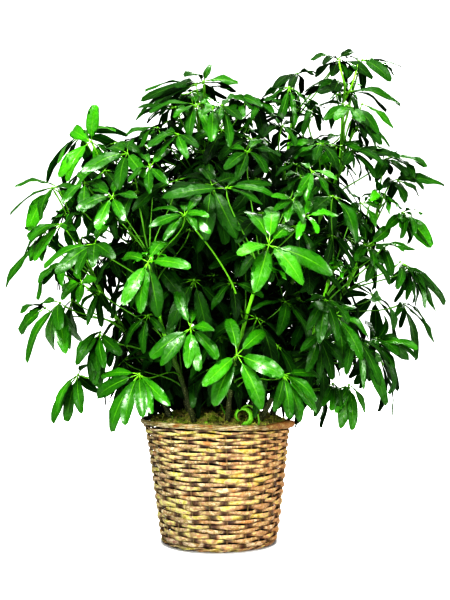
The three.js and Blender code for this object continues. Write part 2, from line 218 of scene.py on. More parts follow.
class Workpiece:
    """A mesh under construction, in millimetres, made of grids that are bent to shape and closed.

    Points that are closer than WELD become one when the piece is finished.

    Args:
        name: The finished piece's name.
    """

    WELD = 0.01

    def __init__(self, name: str) -> None:
        """Opens an empty mesh with its map and tone layers."""
        self.name = name
        self.mesh = bmesh.new()
        self.map = self.mesh.loops.layers.uv.new(Layer.MAP.value)
        self.tone = self.mesh.verts.layers.float_color.new(Layer.TONE.value)

    def sheet(
        self,
        columns: int,
        rows: int,
        place: Place,
        tone: Tone,
        slot: int = 0,
        creases: Iterable[float] = (),
    ) -> None:
        """Adds a grid and moves each of its points to its place. Edges that meet are welded later.

        Args:
            columns: Faces across.
            rows: Faces along.
            place: Gives a point's place from its shares across and along, both 0 to 1.
            tone: Gives a point's tone values from the same shares.
            slot: The material slot of the faces.
            creases: Shares across at which the edges along stay sharp.
        """
        grid = bmesh.ops.create_grid(
            self.mesh, x_segments=columns, y_segments=rows, size=0.5, calc_uvs=True
        )
        corners = grid["verts"]
        spots = {v: (v.co.x + 0.5, v.co.y + 0.5) for v in corners}
        for face in {f for v in corners for f in v.link_faces}:
            face.smooth = True
            face.material_index = slot
            for loop in face.loops:
                loop[self.map].uv = spots[loop.vert]
        for share in creases:
            line = [v for v in corners if abs(spots[v][0] - share) < 1e-4]
            for edge in {e for v in line for e in v.link_edges if e.other_vert(v) in line}:
                edge.smooth = False
        for vert, (across, along) in spots.items():
            vert.co = place(across, along)
            vert[self.tone] = (*tone(across, along), 1.0)

    def tube(
        self,
        path: Path,
        radius: Callable[[float], float],
        sides: int,
        tone: Tone,
        slot: int = 0,
        flat: float = 1.0,
    ) -> None:
        """Adds a closed round bar along a path, with its ends drawn in to a point.

        Args:
            path: The bar's centre line. Its first and last steps close the ends.
            radius: Gives the radius from the share along.
            sides: The number of sides.
            tone: Gives a point's tone values from its shares around and along.
            slot: The material slot of the faces.
            flat: The thickness across the path's side as a share of the radius.
        """
        rows = len(path.points) - 1

        def place(around: float, along: float) -> Vector:
            """Returns the place of a point of the bar's skin."""
            i = round(along * rows)
            tangent, normal = path.tangents[i], path.normals[i]
            side = tangent.cross(normal)
            reach = 0.0 if i in (0, rows) else radius(along)
            angle = TAU * around
            outward = path.points[i] + normal * (reach * math.cos(angle))
            return outward + side * (reach * flat * math.sin(angle))

        self.sheet(sides, rows, place, tone, slot)

    def knob(self, centre: Vector, radius: float, tone: Triple, slot: int = 0) -> None:
        """Adds a small rounded knob.

        Args:
            centre: Its centre.
            radius: Its radius.
            tone: Its tone values.
            slot: The material slot of its faces.
        """
        ball = bmesh.ops.create_icosphere(
            self.mesh, subdivisions=1, radius=radius, matrix=Matrix.Translation(centre), calc_uvs=True
        )
        for vert in ball["verts"]:
            vert[self.tone] = (*tone, 1.0)
            for face in vert.link_faces:
                face.smooth = True
                face.material_index = slot

    def finish(self, materials: Sequence[Material], slot: Slot, replaces: Sequence[str] = ()) -> None:
        """Welds the seams, turns the faces outward and hands the piece to the frame.

        Args:
            materials: The piece's materials, in the order of its slots.
            slot: The record's slot. It is not used.
            replaces: The names of the nodes that it stands for.
        """
        bmesh.ops.remove_doubles(self.mesh, verts=self.mesh.verts, dist=self.WELD)
        bmesh.ops.dissolve_degenerate(self.mesh, dist=self.WELD, edges=self.mesh.edges)
        bmesh.ops.recalc_face_normals(self.mesh, faces=self.mesh.faces)
        bmesh.ops.scale(self.mesh, vec=(MM, MM, MM), verts=self.mesh.verts)
        data = bpy.data.meshes.new(self.name)
        self.mesh.to_mesh(data)
        self.mesh.free()
        for material in materials:
            data.materials.append(material)
        piece = bpy.data.objects.new(self.name, data)
        bpy.context.scene.collection.objects.link(piece)
        if replaces:
            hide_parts(*replaces)
        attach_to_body(piece, BODY)
        LOG.info("%s: %d faces", self.name, len(data.polygons))


# -------------------------------- node trees


class Canvas:
    """Lays nodes in a tree.

    Args:
        tree: The node tree.
    """

    def __init__(self, tree: bpy.types.NodeTree) -> None:
        """Keeps the tree."""
        self.tree = tree

    def add(self, kind: str, inputs: dict[str | int, object] | None = None, **settings: object) -> Node:
        """Adds a node.

        Args:
            kind: The node's type, without its ShaderNode prefix.
            inputs: Sockets to link or values to set, by input name or number.
            **settings: The node's own settings.

        Returns:
            The node.
        """
        made = self.tree.nodes.new(f"ShaderNode{kind}")
        for key, value in settings.items():
            setattr(made, key, value)
        for key, value in (inputs or {}).items():
            if isinstance(value, Socket):
                self.link(value, made, key)
            else:
                made.inputs[key].default_value = value
        return made

    def link(self, value: Socket, node: Node, name: str | int) -> None:
        """Links a socket to a node's input."""
        self.tree.links.new(value, node.inputs[name])

    def math(self, operation: str, a: object, b: object = 0.0, c: object = 0.0) -> Socket:
        """Returns the result of a Math node on up to three values."""
        return self.add("Math", {0: a, 1: b, 2: c}, operation=operation).outputs[0]

    def times(self, a: object, b: object) -> Socket:
        """Returns two values multiplied."""
        return self.math("MULTIPLY", a, b)

    def line(self, value: object, slope: object, start: object) -> Socket:
        """Returns a value times a slope, plus a start."""
        return self.math("MULTIPLY_ADD", value, slope, start)

    def step(
        self, value: object, low: object, high: object, start: float = 0.0, end: float = 1.0
    ) -> Socket:
        """Returns a smooth rise of a value from start at low to end at high."""
        inputs = {"Value": value, "From Min": low, "From Max": high, "To Min": start, "To Max": end}
        return self.add("MapRange", inputs, interpolation_type="SMOOTHSTEP").outputs["Result"]

    def mix(self, share: object, a: object, b: object, blend_type: str = "MIX") -> Socket:
        """Returns two colours mixed."""
        inputs = {0: share, 6: rgba(a), 7: rgba(b)}
        return self.add("Mix", inputs, data_type="RGBA", blend_type=blend_type).outputs[2]

    def ramp(self, value: object, stops: Sequence[tuple[float, Colour]]) -> Socket:
        """Returns a colour picked from stops of (place, colour)."""
        made = self.add("ValToRGB", {0: value})
        elements = made.color_ramp.elements
        while len(elements) < len(stops):
            elements.new(0.5)
        for element, (place, colour) in zip(elements, stops):
            element.position = place
            element.color = rgba(colour)
        return made.outputs["Color"]

    def strip(self) -> tuple[Socket, Socket]:
        """Returns the shares across and along of the piece's own map."""
        read = self.add("UVMap", uv_map=Layer.MAP.value)
        parts = self.add("SeparateXYZ", {0: read.outputs["UV"]})
        return parts.outputs[0], parts.outputs[1]

    def layer(self, layer: Layer) -> tuple[Socket, Socket, Socket]:
        """Returns the three values of a mesh layer."""
        read = self.add("Attribute", attribute_name=layer.value)
        parts = self.add("SeparateXYZ", {0: read.outputs["Vector"]})
        return parts.outputs[0], parts.outputs[1], parts.outputs[2]

    def vector(self, x: object, y: object, z: object) -> Socket:
        """Returns three values as a vector."""
        return self.add("CombineXYZ", {0: x, 1: y, 2: z}).outputs[0]

    def bump(self, shader: Node, height: Socket, strength: float, distance: float) -> None:
        """Gives a shader a relief, in which a height of 1 stands for a distance in metres."""
        inputs = {"Strength": strength, "Distance": distance, "Height": height}
        self.link(self.add("Bump", inputs).outputs["Normal"], shader, "Normal")


def rgba(colour: object) -> object:
    """Returns a colour with an alpha of 1, and a socket as it is."""
    return (*colour, 1.0) if isinstance(colour, tuple) and len(colour) == 3 else colour


def even_stops(colours: Sequence[Colour]) -> list[tuple[float, Colour]]:
    """Returns colours as evenly spaced stops of a ramp."""
    return [(i / (len(colours) - 1), colour) for i, colour in enumerate(colours)]


def make_group(
    name: str, inputs: dict[str, tuple[str, object]], outputs: dict[str, str]
) -> tuple[Canvas, dict[str, Socket], Node]:
    """Opens a node group with named sockets.

    Args:
        name: The group's name.
        inputs: The type and the default value of each input, by its name.
        outputs: The type of each output, by its name.

    Returns:
        The canvas, the group's input sockets by name, and its output node.
    """
    tree = bpy.data.node_groups.new(name, "ShaderNodeTree")
    for label, (kind, value) in inputs.items():
        socket = tree.interface.new_socket(name=label, in_out="INPUT", socket_type=f"NodeSocket{kind}")
        if value is not None:
            socket.default_value = value
    for label, kind in outputs.items():
        tree.interface.new_socket(name=label, in_out="OUTPUT", socket_type=f"NodeSocket{kind}")
    source = tree.nodes.new("NodeGroupInput")
    target = tree.nodes.new("NodeGroupOutput")
    return Canvas(tree), {label: source.outputs[label] for label in inputs}, target


class Effect(Enum):
    """Node groups that more than one material uses."""

    MOTTLE = "soft_mottle"
    FIBRE = "fibre_grain"

    def place(self, canvas: Canvas, **values: object) -> Node:
        """Places the group in a material.

        Args:
            canvas: The material's canvas.
            **values: Sockets to link or values to set, by input name.

        Returns:
            The group node.
        """
        made = canvas.tree.nodes.new("ShaderNodeGroup")
        made.node_tree = bpy.data.node_groups[self.value]
        for label, value in values.items():
            if isinstance(value, Socket):
                canvas.link(value, made, label)
            else:
                made.inputs[label].default_value = value
        return made


def build_mottle() -> None:
    """Makes the soft uneven patches of grown and moulded surfaces."""
    canvas, given, out = make_group(
        Effect.MOTTLE.value,
        {
            "Vector": ("Vector", None),
            "Scale": ("Float", 40.0),
            "Low": ("Float", 0.3),
            "High": ("Float", 0.7),
        },
        {"Mask": "Float"},
    )
    cloud = canvas.add("TexNoise", {"Vector": given["Vector"], "Scale": given["Scale"], "Detail": 4.0})
    canvas.link(canvas.step(cloud.outputs["Fac"], given["Low"], given["High"]), out, "Mask")


def build_fibre() -> None:
    """Makes the fine fibres that run along a strand, a cane or a stem."""
    canvas, given, out = make_group(
        Effect.FIBRE.value,
        {
            "Around": ("Float", 0.0),
            "Along": ("Float", 0.0),
            "Fibres": ("Float", 12.0),
            "Breaks": ("Float", 4.0),
        },
        {"Mask": "Float", "Height": "Float"},
    )
    angle = canvas.times(given["Around"], TAU)
    ring_x = canvas.times(canvas.math("COSINE", angle), given["Fibres"])
    ring_y = canvas.times(canvas.math("SINE", angle), given["Fibres"])
    spot = canvas.vector(ring_x, ring_y, canvas.times(given["Along"], given["Breaks"]))
    bundles = canvas.add("TexNoise", {"Vector": spot, "Scale": 0.5, "Detail": 3.0}).outputs["Fac"]
    hairs = canvas.add("TexNoise", {"Vector": spot, "Scale": 1.7, "Detail": 2.0}).outputs["Fac"]
    hair_share = 0.5
    canvas.link(canvas.step(bundles, 0.36, 0.66), out, "Mask")
    canvas.link(canvas.line(hairs, hair_share, bundles), out, "Height")


# -------------------------------- finishes


def open_material(name: str) -> tuple[Canvas, Node]:
    """Opens a material.

    Args:
        name: The material's name.

    Returns:
        The canvas and the material's Principled shader.
    """
    material = bpy.data.materials.new(name)
    material.use_nodes = True
    return Canvas(material.node_tree), material.node_tree.nodes["Principled BSDF"]


def mottle(canvas: Canvas, spot: Socket, scale: float, low: float, high: float) -> Socket:
    """Places soft uneven patches in a material and returns their mask."""
    return Effect.MOTTLE.place(canvas, Vector=spot, Scale=scale, Low=low, High=high).outputs["Mask"]


def fibres(canvas: Canvas, number: float, breaks: float) -> Node:
    """Places fibres that run along a strip in a material and returns their node."""
    around, along = canvas.strip()
    return Effect.FIBRE.place(canvas, Around=around, Along=along, Fibres=number, Breaks=breaks)


@dataclass(frozen=True)
class LeafFinish:
    """A glossy leathery leaf with a sunken midrib and side veins.

    The first tone value is the leaf's youth and the second its lightness, partly the leaf's own green and
    partly painted light and shade, darker for leaves in shade. The first half of the strip across is the
    leaf's upper side.
    """

    name: str
    deep: Colour = (0.005, 0.016, 0.0035)
    middle: Colour = (0.022, 0.114, 0.003)
    bright: Colour = (0.072, 0.325, 0.008)
    young: Colour = (0.10, 0.52, 0.008)
    stalk: Colour = (0.20, 0.50, 0.02)
    shaded_underside: Colour = (0.003, 0.018, 0.002)
    underside: Colour = (0.026, 0.155, 0.006)
    margin: float = 0.4
    stalk_share: float = 0.15
    stalk_shown: float = 0.4
    veins: float = 11.0
    vein_slant: float = 1.5
    light_share: float = 0.86
    shine: float = 0.2
    dullest: float = 0.36
    dull_shade: float = 0.2
    specular: float = 0.12
    coat: float = 1.0
    coat_roughness: float = 0.31

    def build(self) -> Material:
        """Makes the material."""
        canvas, shader = open_material(self.name)
        across, along = canvas.strip()
        youth, light, _ = canvas.layer(Layer.TONE)
        spot = canvas.add("TexCoord").outputs["Object"]
        fold = canvas.math("PINGPONG", canvas.times(across, 2.0), 1.0)
        off_rib = canvas.math("ABSOLUTE", canvas.line(fold, 2.0, -1.0))
        under = canvas.step(across, 0.495, 0.505)
        patches = mottle(canvas, spot, 22.0, 0.25, 0.75)
        dimples = mottle(canvas, spot, 170.0, 0.38, 0.6)
        slanted = canvas.line(off_rib, -self.vein_slant, canvas.times(along, self.veins))
        veins = canvas.step(canvas.math("PINGPONG", slanted, 0.5), 0.0, 0.10, 1.0, 0.0)
        midrib = canvas.step(off_rib, 0.03, 0.12, 1.0, 0.0)

        # painted light and shade: the lightness, low for leaves deep in the bush, picks a darker or lighter
        # green
        mottle_and_painted_light = canvas.line(patches, 0.18, canvas.times(light, self.light_share))
        blade = canvas.ramp(mottle_and_painted_light, [(0.0, self.deep), (0.5, self.middle), (1.0, self.bright)])
        blade = canvas.mix(youth, blade, self.young)
        blade = canvas.mix(canvas.times(veins, 0.12), blade, self.bright)
        edge = canvas.times(canvas.step(off_rib, 0.7, 1.0), self.margin)
        blade = canvas.mix(edge, blade, self.deep)
        # painted shade: leaves in shade get a darker underside
        blade = canvas.mix(under, blade, canvas.mix(light, self.shaded_underside, self.underside))
        rib = canvas.times(midrib, canvas.step(along, 0.3, 0.9, 0.5, 0.08))
        stem = canvas.step(along, self.stalk_share * 0.8, self.stalk_share * 1.5, 1.0, 0.0)
        # painted shade: the stalks' own colour shows less on leaves in shade
        shown = canvas.step(light, 0.0, 0.7, self.stalk_shown, 1.0)
        stalks = canvas.times(canvas.math("MAXIMUM", rib, stem), shown)
        canvas.link(canvas.mix(stalks, blade, self.stalk), shader, "Base Color")

        gloss = canvas.line(patches, self.dullest - self.shine, self.shine)
        duller = canvas.line(light, -self.dull_shade, self.dull_shade)
        rough = canvas.math("ADD", canvas.line(under, 0.25, gloss), duller)
        canvas.link(rough, shader, "Roughness")
        upper = canvas.math("SUBTRACT", 1.0, under)
        lit = canvas.times(canvas.step(light, 0.1, 0.6), upper)
        broken = canvas.step(dimples, 0.0, 1.0, 0.25, 1.0)
        broken = canvas.math("MAXIMUM", canvas.line(veins, -0.5, broken), 0.0)
        canvas.link(canvas.times(canvas.times(lit, broken), self.coat), shader, "Coat Weight")
        shader.inputs["Coat Roughness"].default_value = self.coat_roughness
        shader.inputs["Specular IOR Level"].default_value = self.specular

        quilting = canvas.line(veins, -0.6, canvas.times(midrib, -1.0))
        quilting = canvas.line(dimples, 0.5, quilting)
        canvas.bump(shader, quilting, 0.5, 0.001)
        return bpy.data.materials[self.name]


@dataclass(frozen=True)
class StalkFinish:
    """A smooth stalk or green stem, with fibres along it and small pale pores. The first tone value is
    how young and green the place is, and the second its painted shade, dark on stalks that lie in shade.
    """

    name: str
    base: Colour = (0.11, 0.38, 0.012)
    tip: Colour = (0.24, 0.60, 0.02)
    shade: Colour = (0.04, 0.11, 0.006)
    pores: Colour = (0.34, 0.36, 0.16)
    pore_share: float = 0.0
    young_pores: float = 0.2
    roughness: float = 0.45
    fibres: float = 3.0
    length: float = 20.0

    def build(self) -> Material:
        """Makes the material."""
        canvas, shader = open_material(self.name)
        youth, painted_shade, _ = canvas.layer(Layer.TONE)
        fibre = fibres(canvas, self.fibres, self.length)
        skin = canvas.mix(youth, self.base, self.tip)
        skin = canvas.mix(canvas.times(fibre.outputs["Mask"], 0.4), skin, self.shade)
        spot = canvas.add("TexCoord").outputs["Object"]
        specks = mottle(canvas, spot, 420.0, 0.58, 0.66)
        old = canvas.line(youth, (self.young_pores - 1.0) * self.pore_share, self.pore_share)
        skin = canvas.mix(canvas.times(specks, old), skin, self.pores)
        # painted shade: darkens petioles, knobs and twigs that lie in shade
        skin = canvas.mix(canvas.times(painted_shade, 0.5), skin, self.shade)
        canvas.link(skin, shader, "Base Color")
        canvas.link(canvas.line(fibre.outputs["Mask"], 0.2, self.roughness), shader, "Roughness")
        canvas.bump(shader, fibre.outputs["Height"], 0.3, 0.0006)
        return bpy.data.materials[self.name]


@dataclass(frozen=True)
class CaneFinish:
    """Split rush and cane. The tone values are the strand's own colour, the painted shade of the point,
    dark where it lies deep in the weave, and the side of the basket, which is redder towards +X.
    """

    name: str
    strands: tuple[Colour, ...] = (
        (0.16, 0.08, 0.05),
        (0.40, 0.39, 0.08),
        (0.60, 0.59, 0.26),
        (0.39, 0.29, 0.21),
        (0.23, 0.19, 0.06),
        (0.66, 0.62, 0.43),
        (0.28, 0.15, 0.13),
    )
    red: Colour = (0.66, 0.22, 0.03)
    redness: float = 0.3
    recess_shade: Colour = (0.010, 0.003, 0.010)
    warm_recess_shade: Colour = (0.075, 0.022, 0.010)
    shade: Colour = (0.24, 0.11, 0.04)
    blotch: float = 0.45
    fibres: float = 5.0
    breaks: float = 60.0
    roughness: float = 0.5

    def build(self) -> Material:
        """Makes the material."""
        canvas, shader = open_material(self.name)
        pick, depth, right = canvas.layer(Layer.TONE)
        fibre = fibres(canvas, self.fibres, self.breaks)
        spot = canvas.add("TexCoord").outputs["Object"]
        blotches = mottle(canvas, spot, 130.0, 0.3, 0.7)
        own = canvas.times(pick, 1.0 - self.blotch)
        straw = canvas.ramp(canvas.line(blotches, self.blotch, own), even_stops(self.strands))
        redder = canvas.times(canvas.math("POWER", right, 2.0), self.redness)
        straw = canvas.mix(redder, straw, self.red)
        straw = canvas.mix(canvas.times(fibre.outputs["Mask"], 0.45), straw, self.shade)
        stains = mottle(canvas, spot, 70.0, 0.52, 0.75)
        straw = canvas.mix(canvas.times(stains, 0.28), straw, self.red)
        # painted shade: points deep in the weave turn to the near-black recess shade
        straw = canvas.mix(depth, straw, canvas.mix(blotches, self.recess_shade, self.warm_recess_shade))
        canvas.link(straw, shader, "Base Color")
        canvas.link(canvas.line(fibre.outputs["Mask"], 0.2, self.roughness), shader, "Roughness")
        canvas.bump(shader, fibre.outputs["Height"], 0.6, 0.0012)
        return bpy.data.materials[self.name]


@dataclass(frozen=True)
class EarthFinish:
    """Moss, soil or another crumbly surface with painted shade in its hollows. The first tone value picks
    the colour and the second is the painted shade of a hollow.
    """

    name: str
    colours: tuple[Colour, ...]
    hollow_shade: Colour
    scale: float
    patch_share: float = 0.4
    roughness: float = 0.9

    def build(self) -> Material:
        """Makes the material."""
        canvas, shader = open_material(self.name)
        pick, depth, _ = canvas.layer(Layer.TONE)
        spot = canvas.add("TexCoord").outputs["Object"]
        patches = mottle(canvas, spot, self.scale, 0.3, 0.7)
        crumbs = mottle(canvas, spot, self.scale * 5.0, 0.35, 0.6)
        choice = canvas.line(pick, 1.0 - self.patch_share, canvas.times(patches, self.patch_share))
        earth = canvas.ramp(choice, even_stops(self.colours))
        # painted shade between the crumbs and in the deep places
        crumb_shade = canvas.times(canvas.math("SUBTRACT", 1.0, crumbs), 0.4)
        earth = canvas.mix(canvas.math("MAXIMUM", depth, crumb_shade), earth, self.hollow_shade)
        canvas.link(earth, shader, "Base Color")
        canvas.link(canvas.line(crumbs, -0.15, self.roughness), shader, "Roughness")
        canvas.bump(shader, crumbs, 0.8, 0.002)
        return bpy.data.materials[self.name]


@dataclass(frozen=True)
class PotFinish:
    """Dark moulded plastic with a fine grain and scuffs."""

    name: str = "nursery_pot_plastic"
    plastic: Colour = (0.02, 0.022, 0.02)
    scuff: Colour = (0.09, 0.09, 0.08)

    def build(self) -> Material:
        """Makes the material."""
        canvas, shader = open_material(self.name)
        spot = canvas.add("TexCoord").outputs["Object"]
        grain = mottle(canvas, spot, 900.0, 0.3, 0.7)
        scuffs = mottle(canvas, spot, 45.0, 0.55, 0.75)
        colour = canvas.mix(canvas.times(scuffs, 0.5), self.plastic, self.scuff)
        canvas.link(colour, shader, "Base Color")
        canvas.link(canvas.line(scuffs, 0.2, 0.45), shader, "Roughness")
        canvas.bump(shader, grain, 0.2, 0.0003)
        return bpy.data.materials[self.name]


class Palette:
    """All the object's materials."""

    def __init__(self) -> None:
        """Makes the node groups and then the materials."""
        build_mottle()
        build_fibre()
        self.leaf = LeafFinish("leaf_gloss").build()
        self.petiole = StalkFinish("petiole_skin").build()
        self.bark = StalkFinish(
            "stem_bark",
            base=(0.045, 0.055, 0.018),
            tip=(0.20, 0.62, 0.012),
            shade=(0.04, 0.05, 0.015),
            pore_share=0.7,
            roughness=0.6,
            length=60.0,
        ).build()
        self.wicker = CaneFinish("wicker_rush").build()
        self.rim = CaneFinish(
            "rim_rush",
            strands=((0.10, 0.045, 0.02), (0.20, 0.19, 0.06), (0.50, 0.49, 0.32), (0.13, 0.08, 0.05)),
            redness=0.2,
            fibres=4.0,
            breaks=110.0,
            roughness=0.42,
        ).build()
        self.moss = EarthFinish(
            "sheet_moss",
            colours=((0.17, 0.38, 0.03), (0.60, 0.74, 0.10), (0.72, 0.58, 0.24), (0.38, 0.84, 0.06)),
            hollow_shade=(0.006, 0.006, 0.004),
            scale=60.0,
        ).build()
        self.soil = EarthFinish(
            "potting_soil",
            colours=((0.02, 0.012, 0.008), (0.05, 0.03, 0.02), (0.09, 0.06, 0.04)),
            hollow_shade=(0.004, 0.003, 0.002),
            scale=90.0,
        ).build()
        self.pot = PotFinish().build()


# -------------------------------- basket


@dataclass
class Roll:
    """A ring of strands that twist round each other.

    Args:
        ring_radius: The radius of the ring's centre line.
        ring_height: The height of the centre line.
        strands: The number of strands.
        turns: How often each strand winds round the centre line.
        offset: The strands' distance from the centre line.
        radius: The strands' own radius.
        rise: Gives how far the ring rises or sags at an angle.
        rng: The source of the strands' colours.
        shift: How far the ring lies towards +X.
        patches: The number of colours along a strand.
    """

    ring_radius: float
    ring_height: float
    strands: int
    turns: int
    offset: float
    radius: float
    rise: Callable[[float], float]
    rng: random.Random
    shift: float = 0.0
    patches: int = 24

    def centre(self, angle: float, strand: int) -> Vector:
        """Returns a point of a strand's centre line."""
        twist = self.turns * angle + TAU * strand / self.strands
        reach = self.ring_radius + self.offset * math.cos(twist)
        height = self.ring_height + self.offset * math.sin(twist) + self.rise(angle)
        return Vector((reach * math.cos(angle) + self.shift, reach * math.sin(angle), height))

    def build(self, piece: Workpiece, steps: int) -> None:
        """Adds the ring.

        Args:
            piece: The piece that it joins.
            steps: The number of steps round it.
        """
        for strand in range(self.strands):
            tones = [self.rng.random() for _ in range(self.patches)]

            def place(around: float, along: float, strand: int = strand) -> Vector:
                """Returns the place of a point of the strand's skin."""
                angle = TAU * along
                middle = self.centre(angle, strand)
                ahead = (self.centre(angle + 0.01, strand) - middle).normalized()
                out = Vector((math.cos(angle), math.sin(angle), 0))
                across = (out - ahead * out.dot(ahead)).normalized()
                turn = TAU * around
                full = self.radius * (1 + 0.1 * noise.noise(middle * 0.05))
                skin = middle + across * (full * math.cos(turn))
                return skin + ahead.cross(across) * (full * math.sin(turn))

            def tone(
                around: float, along: float, strand: int = strand, tones: list[float] = tones
            ) -> Triple:
                """Returns the strand's colour, the painted shade where it turns in towards the roll's
                middle, and its side of the basket.
                """
                at = along * self.patches
                low = int(at) % self.patches
                pick = blend(tones[low], tones[(low + 1) % self.patches], smooth_step(0, 1, at - int(at)))
                twist = self.turns * TAU * along + TAU * strand / self.strands
                # painted shade where the skin turns in towards the roll's middle
                depth = smooth_step(0.25, 0.8, 0.5 - 0.5 * math.cos(TAU * around + twist))
                return pick, depth, 0.5 + 0.5 * math.cos(TAU * along)

            piece.sheet(8, steps, place, tone)


@dataclass
class Basket:
    """The woven basket: stakes that run from the base up the wall, rows woven over and under them, and
    a rolled rim. It leans a little to the left and flares below its rim.
    """

    palette: Palette
    seed: int = 11
    # The weave's middle surface.
    wall_thickness: float = 5.0
    base_edge: float = 84.0
    base_start: float = 12.0
    corner_foot: float = 90.0
    corner_top: float = 98.2
    corner_height: float = 11.0
    corner_steps: int = 8
    top_radius: float = 120.7
    top: float = 193.5
    flare: float = 2.6
    flare_height: float = 16.0
    lean: float = -3.8
    lowest: float = 0.3
    # The stakes.
    stakes: int = 22
    stake_radius: float = 1.5
    stake_steps: int = 28
    # The rows, from low to high on the wall, and the unevenness of their strands.
    low_pitch: float = 7.7
    high_pitch: float = 5.4
    dense_from: float = 75.0
    swing: float = 2.0
    steps_per_stake: int = 6
    strand_thickness: float = 1.55
    fullness: Pair = (0.72, 1.16)
    drift: float = 1.1
    early: float = 0.26
    # The rolls at the foot and the rim, and the tucked end of the rim.
    foot_radius: float = 92.0
    foot_height: float = 3.6
    rim_radius: float = 123.4
    rim_height: float = 197.0
    tuck_steps: int = 18
    tuck_out: float = 2.0
    profile: list[Vector] = field(init=False)
    leans: list[Pair] = field(init=False)

    def __post_init__(self) -> None:
        """Draws the weave's middle surface as a line from the base's centre to the wall's top."""
        rng = random.Random(self.seed)
        self.leans = [(spread(rng, 0.08), spread(rng, 0.16)) for _ in range(self.stakes)]
        inset = self.wall_thickness / 2
        line = [Vector((self.base_start, 0, inset)), Vector((self.base_edge, 0, inset))]
        for i in range(1, self.corner_steps + 1):
            angle = i / self.corner_steps * math.pi / 2
            radius = self.corner_foot + (self.corner_top - self.corner_foot) * math.sin(angle) - inset
            line.append(Vector((radius, 0, blend(inset, self.corner_height, 1 - math.cos(angle)))))
        bend = self.top - self.flare_height
        share = (bend - self.corner_height) / (self.top - self.corner_height)
        line.append(Vector((blend(self.corner_top, self.top_radius, share) - inset, 0, bend)))
        line.append(Vector((self.top_radius + self.flare - inset, 0, self.top)))
        self.profile = line

    def wave(self, angle: float, height: float) -> float:
        """Returns how far the basket's upper edge rises or sags at an angle, less lower down."""
        share = max(0.0, height / self.top) ** 3
        return share * (1 - 4 * math.sin(angle) + 2 * math.sin(angle) ** 2 - 3.2 * math.cos(angle))

    def shift(self, height: float) -> float:
        """Returns how far the basket leans towards +X at a height."""
        return self.lean * (height / self.rim_height) ** 3

    def profile_length(self) -> float:
        """Returns the length of the line from the base's centre to the wall's top."""
        return sum((b - a).length for a, b in zip(self.profile, self.profile[1:]))

    def surface(self, reach: float) -> tuple[Vector, Vector]:
        """Finds a place on the middle surface.

        Args:
            reach: The distance along the profile from its start.

        Returns:
            The point (radius, 0, height) and the outward direction there.
        """
        for a, b in zip(self.profile, self.profile[1:]):
            span = (b - a).length
            if reach <= span or b is self.profile[-1]:
                along = (b - a).normalized()
                return a + along * reach, Vector((along.z, 0, -along.x))
            reach -= span
        raise ValueError("the profile has no length")

    def rows(self) -> list[tuple[float, float, bool]]:
        """Returns each row's distance along the profile, its pitch, and whether it is on the wall."""
        length = self.profile_length()
        found, reach = [], 0.0
        while True:
            point, _ = self.surface(reach)
            pitch = blend(self.low_pitch, self.high_pitch, smooth_step(self.dense_from, self.top, point.z))
            reach += pitch / 2
            if reach + pitch / 2 > length:
                return found
            point, _ = self.surface(reach)
            found.append((reach, pitch, point.x > self.base_edge))
            reach += pitch / 2

    def stake_angle(self, number: float, height: float) -> float:
        """Returns the angle of a place counted in stakes. Each stake is a little off and leans a little."""
        low = math.floor(number)
        share = smooth_step(0, 1, number - low)
        first, second = self.leans[low % self.stakes], self.leans[(low + 1) % self.stakes]
        off = blend(first[0], second[0], share) + blend(first[1], second[1], share) * height / self.top
        return TAU * (number + off) / self.stakes

    def strand(self, piece: Workpiece, row: int, reach: float, pitch: float, rng: random.Random) -> None:
        """Adds one row of the weave, a strand that swings over and under the stakes.

        Args:
            piece: The piece that it joins.
            row: The row's number, which sets the stakes that it passes over.
            reach: Its distance along the profile.
            pitch: The distance between rows.
            rng: The source of its unevenness.
        """
        point, outward = self.surface(reach)
        along_profile = Vector((-outward.z, 0, outward.x))
        tones = [rng.random() for _ in range(self.stakes)]
        fullness = [rng.uniform(*self.fullness) for _ in range(self.stakes)]
        drift = [spread(rng, self.drift) for _ in range(self.stakes)]
        early = [spread(rng, self.early) for _ in range(self.stakes)]
        parity = row % 2
        row_full, row_tone = rng.uniform(0.86, 1.1), rng.random()

        def between(values: Sequence[float], number: float) -> float:
            """Returns a value that turns smoothly from stake to stake."""
            low = math.floor(number)
            share = smooth_step(0, 1, number - low)
            return blend(values[low % self.stakes], values[(low + 1) % self.stakes], share)

        def swing_at(number: float) -> float:
            """Returns 1 where the strand is outside a stake and -1 where it is behind one."""
            return math.cos(math.pi * (number + parity + between(early, number)))

        def place(around: float, along: float) -> Vector:
            """Returns the place of a point of the strand's skin."""
            number = along * self.stakes
            angle = self.stake_angle(number, point.z)
            swing = swing_at(number)
            tall = pitch * blend(0.44, 0.60, abs(swing)) * row_full * between(fullness, number)
            thick = self.strand_thickness * blend(0.8, 1.15, abs(swing))
            turn = TAU * around
            spot = Vector((3 * math.cos(angle), 3 * math.sin(angle), reach * 0.03))
            sag = 1.5 * noise.noise(spot)
            middle = point + outward * (self.swing * swing + thick * math.cos(turn))
            middle += along_profile * (tall * math.sin(turn) + between(drift, number) + sag)
            height = max(self.lowest, middle.z + self.wave(angle, middle.z))
            x = middle.x * math.cos(angle) + self.shift(middle.z)
            return Vector((x, middle.x * math.sin(angle), height))

        def tone(_: float, along: float) -> Triple:
            """Returns the strand's colour, the painted shade where it passes behind a stake or lies low by
            the foot, and its side of the basket.
            """
            number = along * self.stakes
            over = 2 * round((number + parity) / 2) - parity
            # painted shade where the strand passes behind a stake
            behind = 0.88 * smooth_step(0.70, 0.97, 0.5 - 0.5 * swing_at(number))
            on_wall = outward.x > 0.5
            foot_shade = 0.45 * smooth_step(16.0, 2.0, point.z) if on_wall else 0.0
            pick = blend(tones[over % self.stakes], row_tone, 0.25)
            return pick, max(behind, foot_shade), 0.5 + 0.5 * math.cos(TAU * along)

        piece.sheet(8, self.stakes * self.steps_per_stake, place, tone)

